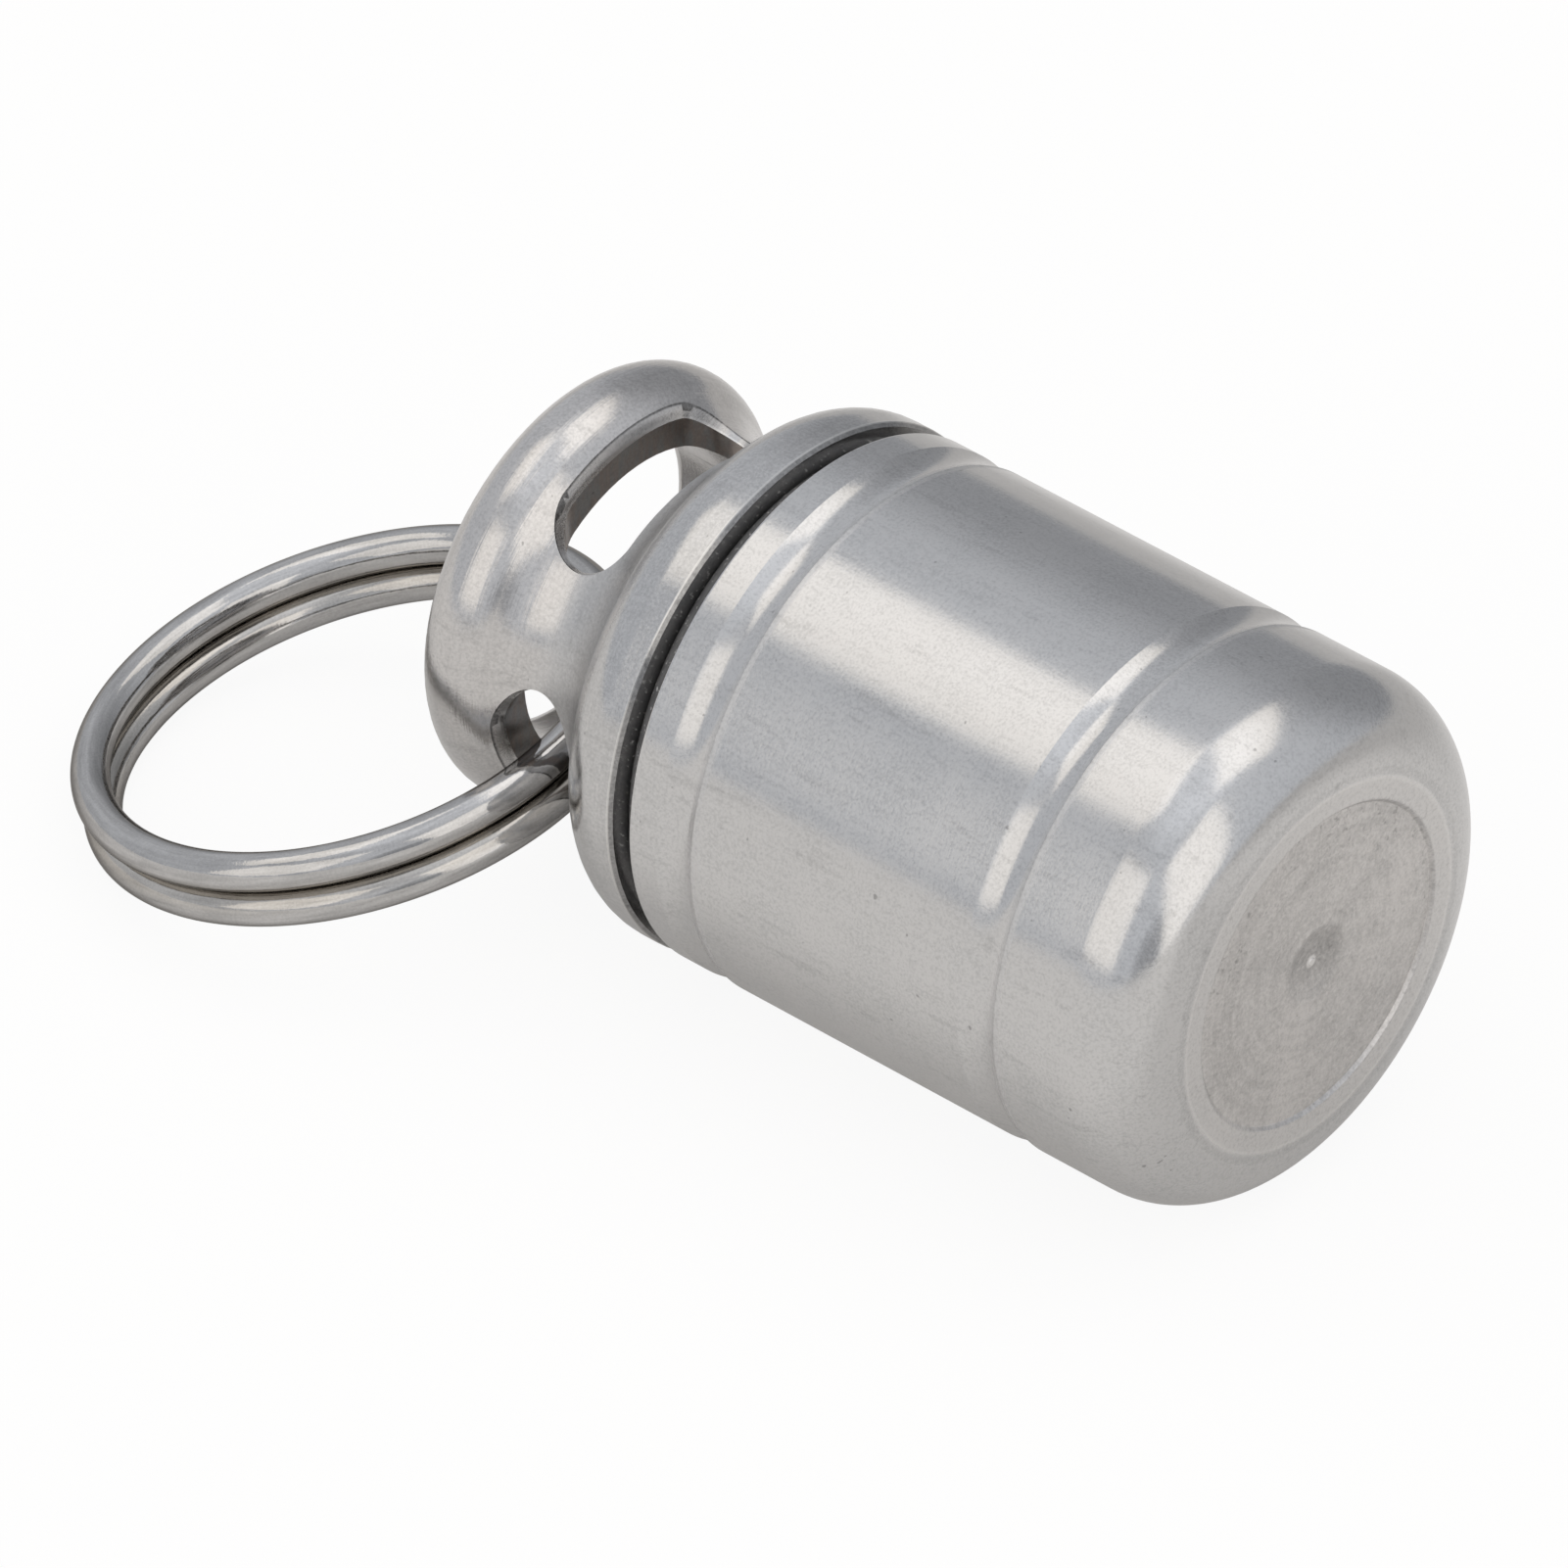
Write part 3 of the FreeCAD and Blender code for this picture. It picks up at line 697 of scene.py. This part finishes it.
class Finish:
    """The node tree of a material or of the world, emptied and built up again."""

    def __init__(self, tree):
        self.tree = tree
        self.tree.nodes.clear()

    def node(self, kind, settings=None, sockets=None, output=0):
        """Adds a node of this kind, sets it up, then fills or links its sockets; gives one output."""
        made = self.tree.nodes.new(kind)
        for name, value in (settings or {}).items():
            setattr(made, name, value)
        for key, value in (sockets or {}).items():
            if isinstance(value, Value):
                self.tree.links.new(value.socket, made.inputs[key])
            else:
                made.inputs[key].default_value = value
        return Value(self, made.outputs[output]) if made.outputs else None

    def outputs(self, kind, names, sockets=None):
        """Several outputs of one node, by name or number."""
        made = self.node(kind, None, sockets).socket.node
        return [Value(self, made.outputs[name]) for name in names]

    def blend(self, share, first, second):
        """A colour between two colours, by share."""
        return self.node("ShaderNodeMix", {"data_type": "RGBA"}, {0: share, 6: first, 7: second}, 2)

    def noise(self, where, scale, detail=2.0, rough=0.5):
        """Soft random values from 0 to 1 over space."""
        return self.node("ShaderNodeTexNoise", {"noise_dimensions": "3D"},
                         {"Vector": where, "Scale": scale, "Detail": detail, "Roughness": rough})

    def joined(self, x, y, z):
        """Three values as one vector."""
        return self.node("ShaderNodeCombineXYZ", None, {0: x, 1: y, 2: z})

    def vector(self, operation, first, second=(0.0, 0.0, 0.0)):
        """Vector arithmetic; a dot product or a length is a value, the rest are vectors."""
        output = 1 if operation in ("DOT_PRODUCT", "LENGTH") else 0
        return self.node("ShaderNodeVectorMath", {"operation": operation}, {0: first, 1: second}, output)

    def place(self):
        """The place on the piece, in millimetres."""
        where = self.node("ShaderNodeTexCoord", None, None, 3)
        return self.node("ShaderNodeVectorMath", {"operation": "SCALE"}, {0: where, "Scale": 1 / MM})

    def attribute(self, name):
        """A value that the mesh carries."""
        return self.node("ShaderNodeAttribute", {"attribute_name": name}, None, 2)

    def bump(self, height, distance, strength=1.0):
        """The surface's direction, tilted by a height; a height of 1 stands out by distance, in metres."""
        sockets = {"Strength": strength, "Distance": distance, "Height": height}
        return self.node("ShaderNodeBump", None, sockets)

    def show(self, sockets):
        """Joins a Principled shader with these sockets to the material's output."""
        shader = self.node("ShaderNodeBsdfPrincipled", None, sockets)
        self.node("ShaderNodeOutputMaterial", None, {"Surface": shader})


def new_finish(name):
    """A material with an empty tree."""
    material = bpy.data.materials.new(name)
    material.use_nodes = True
    return material, Finish(material.node_tree)


print("shader arithmetic ready")

# %% [markdown]
# ## Turned steel
#
# Satin stainless steel straight from the lathe: the tool leaves fine rings round the axis, the surface
# has a faint grain, and a few pits and scratches. The rings follow the distance along the outline, so
# the noise is stretched: fine along the outline, long around the axis. They go into the bump, which
# spreads a highlight along the axis as the real rings do.
#
# Every mark is a noise or a mask that adds to one or more sums: roughness, tone, bump height, warmth
# of the colour and bright wear, which also carries painted highlights; some of the tone's marks are
# painted shade. The canister and the cap start from the same sums, and each adds its own.

# %% Steel as it leaves the lathe
BLACK = (0.0, 0.0, 0.0, 1.0)
WHITE = (1.0, 1.0, 1.0, 1.0)
STEEL = (0.635, 0.635, 0.635, 1.0)
WARM_STEEL = (0.65, 0.622, 0.602, 1.0)
TARNISHED_STEEL = (0.56, 0.49, 0.45, 1.0)
WEAR_AND_GLINT_STEEL = (0.86, 0.85, 0.83, 1.0)


def lathe_marks(f):
    """Fine and broad rings, grain, clouds, brushing and smears along the axis, and a few pits."""
    place = f.place()
    x, y, z = f.outputs("ShaderNodeSeparateXYZ", range(3), {0: place})
    along = f.attribute("along")
    fine = f.noise(f.joined(x * 0.16, along * 15.0, z * 0.16), 1.0, 3.0, 0.6)
    broad = f.noise(f.joined(x * 0.05, along * 3.1, z * 0.05), 1.0, 2.0, 0.5)
    grain = f.noise(place, 11.0, 3.0, 0.65)
    cloud = f.noise(place, 0.45, 3.0, 0.55)
    smear = f.noise(f.joined(x * 2.2, y * 0.3, z * 2.2), 1.0, 3.0, 0.6).rises(0.56, 0.72)
    brushed = f.noise(f.joined(x * 7.0, y * 0.5, z * 7.0), 1.0, 2.0, 0.6)
    pits = f.noise(place, 3.4, 1.0, 0.4).rises(0.225, 0.18)
    tone = 0.96 + cloud.swing(0.16) + broad.swing(0.05) + grain.swing(0.65)
    return SimpleNamespace(
        place=place, x=x, y=y, z=z, radius=(x * x + z * z) ** 0.5, along=along,
        fine=fine, cloud=cloud, pits=pits, stains=[],
        rough=0.165 + fine.swing(0.08) + cloud.swing(0.08) + grain.swing(0.1),
        tone=tone + brushed.swing(0.16) - smear * 0.1,
        height=fine * 0.5 + broad * 0.15 + grain * 0.8 + brushed * 0.4,
        warm=cloud * 0.3, bright=0.0)


print("lathe marks ready")

# %% Marks of the canister


def cup_marks(f, s):
    """Adds the matt, speckled base face with its rim, recess, dimple and pip, painted shade at the recess's
    step and just outside the base face, and the grooves' edges with a painted dark reflection along each
    edge nearer the base.
    """
    low = s.y.rises(0.6, 0.4)
    face = low * s.radius.rises(BASE_FLAT + 0.06, BASE_FLAT - 0.02)
    rim_line = low * (s.radius - BASE_FLAT).magnitude().rises(0.1, 0.03)
    rim_shade = low * (s.radius - BASE_FLAT - 0.22).magnitude().rises(0.2, 0.05)
    disc = low * s.radius.rises(DISC_EDGE - 0.02, DISC_EDGE - 0.12)
    step = face * (s.radius - DISC_EDGE + 0.05).magnitude().rises(0.12, 0.03)
    dimple = s.radius.rises(DIMPLE + 0.1, DIMPLE - 0.25)
    pip = s.radius.rises(PIP + 0.14, PIP + 0.02)
    smudge = f.noise(s.place, 1.3, 3.0, 0.6)
    speckle = f.noise(s.place, 7.0, 3.0, 0.7)
    rings = f.noise(f.joined(s.x * 0.1, s.along * 4.5, s.z * 0.1), 1.0, 2.0, 0.6)
    pores = f.noise(s.place, 4.6, 2.0, 0.5).rises(0.4, 0.3)
    pores = pores * s.radius.rises(2.6, 4.4) * s.z.rises(-2.5, 2.5)
    s.rough = s.rough + face * 0.22 + disc * dimple * 0.15
    s.tone = s.tone - disc * (0.12 + dimple * 0.16 - pip * 0.5 + pores * 0.25)
    s.tone = s.tone + disc * (smudge.swing(0.3) + rings.swing(0.3) + s.cloud.swing(0.3))
    # Painted shade: a dark line at the recess's step, and a darker band on the round just outside the base
    # face.
    s.tone = s.tone + face * speckle.swing(0.6) - step * 0.06 - rim_shade * 0.07
    s.bright = disc * (0.16 + pip * 0.4) + (face - disc) * (1 - step) * 0.2 + rim_line * 0.2
    s.height = s.height + disc * (smudge * 1.5 - pores * 2.0)
    s.warm = s.warm + face * 0.3 + disc * 0.3
    on_side = s.radius.rises(SIDE - 0.3, SIDE - 0.2)
    for middle in GROOVES:
        from_edge = (s.y - middle + GROOVE_HALF).magnitude()
        # Painted dark reflection: a thin dark line along each groove's edge nearer the base, where that
        # edge is also rougher.
        s.tone = s.tone - on_side * from_edge.rises(0.05, 0.015) * 0.1
        s.rough = s.rough + on_side * from_edge.rises(0.24, 0.1) * 0.2


print("canister's marks ready")

# %% Marks of the cap


def cap_marks(f, s):
    """Adds the windows' milled walls, darkened as a painted reflection, their broken edges with a painted
    shadow line and a painted highlight line, lines on the head, and the flange's chamfer, darkened as
    painted shade, with a bright line of wear and painted highlight along its edge.
    """
    milled = f.attribute("milled")
    across = f.attribute("across")
    wall = milled.rises(0.6, 0.9)
    bevel = milled.rises(0.2, 0.4) - wall
    # Painted light on each broken window edge: a painted shadow line along its outer side and a painted
    # highlight line along its inner side.
    window_edge_shadow = bevel * across.rises(0.78, 0.92)
    window_edge_glint = bevel * across.rises(0.32, 0.1)
    streaks = f.noise(f.joined(s.x * 5.0, s.y * 1.2, s.z * 1.2), 1.0, 3.0, 0.6)
    lines = f.noise(f.joined(s.x * 0.16, s.along * 8.0, s.z * 0.16), 1.0, 2.0, 0.6)
    on_head = s.y.rises(WAIST[1] - 0.5, WAIST[1] + 1.0)
    above_shoulder = s.y.rises(SHOULDER[1] + 0.7, SHOULDER[1] + 1.5)
    valley = above_shoulder * s.y.rises(WAIST[1] + 0.5, WAIST[1] - 0.3)
    # Painted shade: the flange's chamfer is darkened as the shade of the gap it faces. Along the flange's
    # edge runs a bright line that is wear and painted highlight.
    chamfer = (s.y - SEAT).rises(EDGE + 0.01, EDGE - 0.01) * s.radius.rises(SIDE - EDGE - 0.02, SIDE - EDGE)
    flange_wear_and_glint = (s.y - SEAT - EDGE + 0.005).magnitude().rises(0.04, 0.015)
    flange_wear_and_glint = flange_wear_and_glint * s.radius.rises(SIDE - 0.05, SIDE - 0.02)
    s.rough = s.rough + wall * 0.15 + bevel * 0.12 + valley * 0.22
    # The window walls are darkened, with streaks, as a painted reflection of the dark inside of the head.
    s.tone = s.tone * (0.92 + on_head * 0.05 - wall * (0.6 - streaks * 0.55))
    s.tone = s.tone + lines.swing(0.14) - bevel * 0.02 - window_edge_shadow * 0.6 - chamfer * 0.4
    s.bright = flange_wear_and_glint * 0.5 + window_edge_glint * 0.7
    s.height = s.height + (1 - wall) * (lines * (0.5 + on_head * 2.2) + on_head * s.fine * 2.4)
    s.warm = s.warm + on_head * 0.35
    s.stains.append((wall * streaks.rises(0.35, 0.6), TARNISHED_STEEL))


print("cap's marks ready")

# %% The two steels


def turned_steel(name, marks):
    """Steel with its piece's marks: stained, darkened by its tone with painted shade in it, then brightened
    by wear and painted highlights.
    """
    material, f = new_finish(name)
    s = lathe_marks(f)
    marks(f, s)
    colour = f.blend(s.warm, STEEL, WARM_STEEL)
    for share, stain in s.stains:
        colour = f.blend(share, colour, stain)
    colour = f.blend(s.tone * (1 - s.pits * 0.35), BLACK, colour)
    # The bright sum is wear, and on the cap it also holds painted highlights.
    colour = f.blend(s.bright, colour, WEAR_AND_GLINT_STEEL)
    bump = f.bump(s.height, 2.2e-6)
    f.show({"Base Color": colour, "Metallic": 1.0, "Roughness": s.rough, "Normal": bump})
    return material


cap_steel = turned_steel("turned_steel_cap", cap_marks)
canister.data.materials.append(turned_steel("turned_steel_cup", cup_marks))
cap.data.materials.append(cap_steel)
plug_thread.data.materials.append(cap_steel)
print("turned steel on canister, cap and thread")

# %% [markdown]
# ## Ring wire and rubber
#
# The ring is drawn wire, smoother and glossier than turned steel, with streaks along its length, small
# dents that break up its highlights and a warmer, darker tint between its coils that is painted shade.
# For the streaks a noise is stretched along the wire: its other two directions are the height over the
# ring's plane and the distance from the ring's middle. The seal is rubber painted dark grey instead of
# black, as painted light on its bulge, with a soft sheen, an uneven film and pale dust on it.

# %% Ring wire
WIRE_STEEL = (0.62, 0.612, 0.605, 1.0)
COIL_SHADE_WIRE = (0.62, 0.595, 0.56, 1.0)
WIRE_GRAZING = (0.4, 0.39, 0.38, 1.0)


def drawn_wire(name):
    """Glossy drawn wire with lengthwise streaks and small dents, and painted warm shade between its coils.
    """
    material, f = new_finish(name)
    place = f.place()
    along = f.attribute("along")
    from_middle = f.vector("SUBTRACT", place, tuple(ring_middle))
    level = f.vector("DOT_PRODUCT", from_middle, tuple(ring_up))
    reach = f.vector("LENGTH", from_middle)
    # Where the two coils meet, the wire's colour turns warmer and darker as painted shade, and the wire is
    # a little rougher.
    between = level.magnitude().rises(0.6, 0.15)
    dents = f.noise(place, 2.4, 3.0, 0.6)
    grain = f.noise(place, 14.0, 2.0, 0.6)
    cloud = f.noise(place, 0.5, 2.0, 0.5)
    streaks = f.noise(f.joined(along * 0.45, level * 5.0, reach * 5.0), 1.0, 3.0, 0.65)
    rough = 0.085 + grain.swing(0.1) + cloud.swing(0.06) + between * 0.05 + streaks.swing(0.06)
    tone = 0.82 + cloud.swing(0.2) + grain.swing(0.3) + streaks.swing(0.7)
    colour = f.blend(tone, BLACK, f.blend(between, WIRE_STEEL, COIL_SHADE_WIRE))
    bump = f.bump(dents * 0.9 + grain * 0.25 + streaks * 1.2, 4e-6)
    f.show({"Base Color": colour, "Metallic": 1.0, "Roughness": rough, "Normal": bump,
            "Specular Tint": WIRE_GRAZING})
    return material


wire.data.materials.append(drawn_wire("drawn_wire"))
print("drawn wire on the split ring")

# %% Seal rubber
RUBBER_PAINTED_LIT = (0.11, 0.11, 0.113, 1.0)
FILMED_RUBBER_PAINTED_LIT = (0.19, 0.187, 0.184, 1.0)
DUST = (0.75, 0.74, 0.72, 1.0)


def seal_rubber(name):
    """Rubber painted dark grey instead of black as painted light on its bulge, a little uneven, with dust
    specks.
    """
    material, f = new_finish(name)
    place = f.place()
    dust = f.noise(place, 8.0, 2.0, 0.6).rises(0.63, 0.69)
    film = f.noise(place, 1.2, 3.0, 0.6)
    # Both rubber colours are lighter than the seal's black, as painted light on its bulge; the film noise
    # goes between them.
    colour = f.blend(dust * 0.8, f.blend(film.rises(0.25, 0.8), RUBBER_PAINTED_LIT, FILMED_RUBBER_PAINTED_LIT), DUST)
    rough = 0.42 + film.swing(0.2) + dust * 0.3
    f.show({"Base Color": colour, "Roughness": rough, "Normal": f.bump(film + dust, 1e-5, 0.6)})
    return material


seal.data.materials.append(seal_rubber("seal_rubber"))
print("rubber on the seal")

# %% [markdown]
# ## Floor and studio
#
# Metal shows its surroundings, so the studio is what makes the steel read as steel: a pale floor, a
# tall soft box in front, wider ones at the side, behind and above, and a room that is dim on the right.
# The camera sees the floor as nearly white, with the fob's soft shadow on it. The metal sees a part of
# the floor's own glow, which fades to the right and has a painted shadow under the fob.

# %% The floor
FLOOR_Z = -SIDE - 0.005
FLOOR_HALF = 1500.0
FLOOR_COLOUR = (0.83, 0.81, 0.785, 1.0)
FLOOR_GLOW = (1.0, 0.98, 0.955, 1.0)
floor_mesh = bpy.data.meshes.new("floor")
floor_sides = np.array([(-1, -1), (1, -1), (1, 1), (-1, 1)]) * FLOOR_HALF
floor_corners = [(x * MM, y * MM, FLOOR_Z * MM) for x, y in floor_sides.tolist()]
floor_mesh.from_pydata(floor_corners, [], [(0, 1, 2, 3)])
floor = bpy.data.objects.new("floor", floor_mesh)
bpy.context.scene.collection.objects.link(floor)
floor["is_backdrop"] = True
floor_material, pale = new_finish("pale_floor")
camera_ray, glossy_ray = pale.outputs("ShaderNodeLightPath", ("Is Camera Ray", "Is Glossy Ray"))
lit = pale.node("ShaderNodeBsdfDiffuse", None, {"Color": FLOOR_COLOUR})
white = pale.node("ShaderNodeEmission", None, {"Color": WHITE, "Strength": 1.03})
rightward = pale.node("ShaderNodeSeparateXYZ", None, {0: pale.place()}, 0)
# A painted shadow: the glow that the metal sees drops under and beside the fob.
contact_shadow_under_fob = rightward.magnitude().rises(16.0, 6.0)
fall_off = 1.05 - rightward.rises(10.0, 60.0) * 0.9 - contact_shadow_under_fob * 0.42
glow = pale.node("ShaderNodeEmission", None, {"Color": FLOOR_GLOW, "Strength": fall_off})
seen = pale.node("ShaderNodeMixShader", None, {0: camera_ray * 0.88, 1: lit, 2: white})
seen = pale.node("ShaderNodeMixShader", None, {0: glossy_ray * 0.25, 1: seen, 2: glow})
pale.node("ShaderNodeOutputMaterial", None, {"Surface": seen})
floor_mesh.materials.append(floor_material)
print("floor at z =", FLOOR_Z, "mm")

# %% The soft boxes
TARGET = Vector((-0.002, 0.013, 0.0))


def toward(azimuth, elevation):
    """The direction with this azimuth, 0 being the -Y side and 90 the +X side, and this elevation."""
    a, e = math.radians(azimuth), math.radians(elevation)
    return Vector((math.sin(a) * math.cos(e), -math.cos(a) * math.cos(e), math.sin(e)))


def soft_box(name, azimuth, elevation, distance, wide, high, radiance, colour, roll=0.0):
    """A rectangular lamp that faces the fob, as many degrees wide and high as it looks from there.

    Its power is radiance times pi times its area, so its brightness doesn't change with its size.
    """
    lamp = bpy.data.lights.new(name, "AREA")
    lamp.shape = "RECTANGLE"
    lamp.size = 2 * distance * math.tan(math.radians(wide / 2))
    lamp.size_y = 2 * distance * math.tan(math.radians(high / 2))
    lamp.energy = radiance * math.pi * lamp.size * lamp.size_y
    lamp.color = colour
    box = bpy.data.objects.new(name, lamp)
    box.location = TARGET + toward(azimuth, elevation) * distance
    facing = (TARGET - box.location).to_track_quat("-Z", "Y").to_matrix().to_4x4()
    box.rotation_euler = facing.to_euler()
    box.rotation_euler.rotate_axis("Z", math.radians(roll))
    bpy.context.scene.collection.objects.link(box)
    return box


FAR = 2.0
WARM = (1.0, 0.905, 0.77)
soft_box("front_box", -16, 27, FAR, 34, 54, 0.555, WARM, roll=20)
soft_box("side_box", -96, 27, FAR, 46, 40, 0.515, WARM)
soft_box("back_box", -164, 58, FAR, 32, 26, 0.575, WARM)
soft_box("top_box", 74, 69, FAR, 46, 32, 0.535, WARM)
print("four soft boxes")

# %% The room
world = bpy.data.worlds.new("room")
bpy.context.scene.world = world
world.use_nodes = True
room_tree = Finish(world.node_tree)
ray = room_tree.node("ShaderNodeTexCoord", None, None, 0)
ROOM_TINT = (0.96, 0.985, 1.035, 1.0)


def spot(azimuth, elevation, inner, outer):
    """1 within inner degrees of a direction, 0 beyond outer degrees."""
    near = room_tree.vector("DOT_PRODUCT", ray, tuple(toward(azimuth, elevation)))
    return near.rises(math.cos(math.radians(outer)), math.cos(math.radians(inner)))


upward = room_tree.node("ShaderNodeSeparateXYZ", None, {0: ray}, 2)
room = 0.65 + upward.rises(0.78, 0.96) * 0.25 + spot(-20, 30, 10, 70) * 0.1
room = room - spot(97, 10, 8, 52) * 0.3 - spot(-38, 5, 5, 17) * 0.3
(seen_by_camera,) = room_tree.outputs("ShaderNodeLightPath", ("Is Camera Ray",))
strength = room + seen_by_camera * (1 - room)
tint = room_tree.blend(seen_by_camera, ROOM_TINT, WHITE)
backdrop = room_tree.node("ShaderNodeBackground", None, {"Color": tint, "Strength": strength})
room_tree.node("ShaderNodeOutputWorld", None, {"Surface": backdrop})
print("room ready")

# %% [markdown]
# ## Camera
#
# A long lens from the front left, above the fob. Its place follows from the photograph: where the base's
# middle falls in the picture, how steeply the axis runs across it and how wide the base's ellipse is.

# %% The camera
LOOK_AT = Vector((-7.16, 12.98, 3.86)) * MM
CAMERA_AZIMUTH = -49.2
CAMERA_ELEVATION = 38.4
CAMERA_FAR = 0.7
LENS = 592.6
camera_data = bpy.data.cameras.new("camera")
camera_data.lens = LENS
camera_data.sensor_width = 36.0
camera_data.clip_start = 0.01
camera_data.clip_end = 10.0
camera = bpy.data.objects.new("camera", camera_data)
camera.location = LOOK_AT + toward(CAMERA_AZIMUTH, CAMERA_ELEVATION) * CAMERA_FAR
camera.rotation_euler = (LOOK_AT - camera.location).to_track_quat("-Z", "Y").to_euler()
bpy.context.scene.collection.objects.link(camera)
bpy.context.scene.camera = camera
bpy.context.scene.view_settings.view_transform = "Standard"
print("camera at", [round(v, 4) for v in camera.location])

# %% [markdown]
# ## Check the size
#
# The dressed fob has to fill the same box as the CAD model, so the largest difference between the two boxes
# is printed.

# %% Sizes side by side
dressed_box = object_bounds()
differences = [abs(a - b) for p, q in zip(cad_box, dressed_box) for a, b in zip(p, q)]
print("largest difference", max(differences), "m")
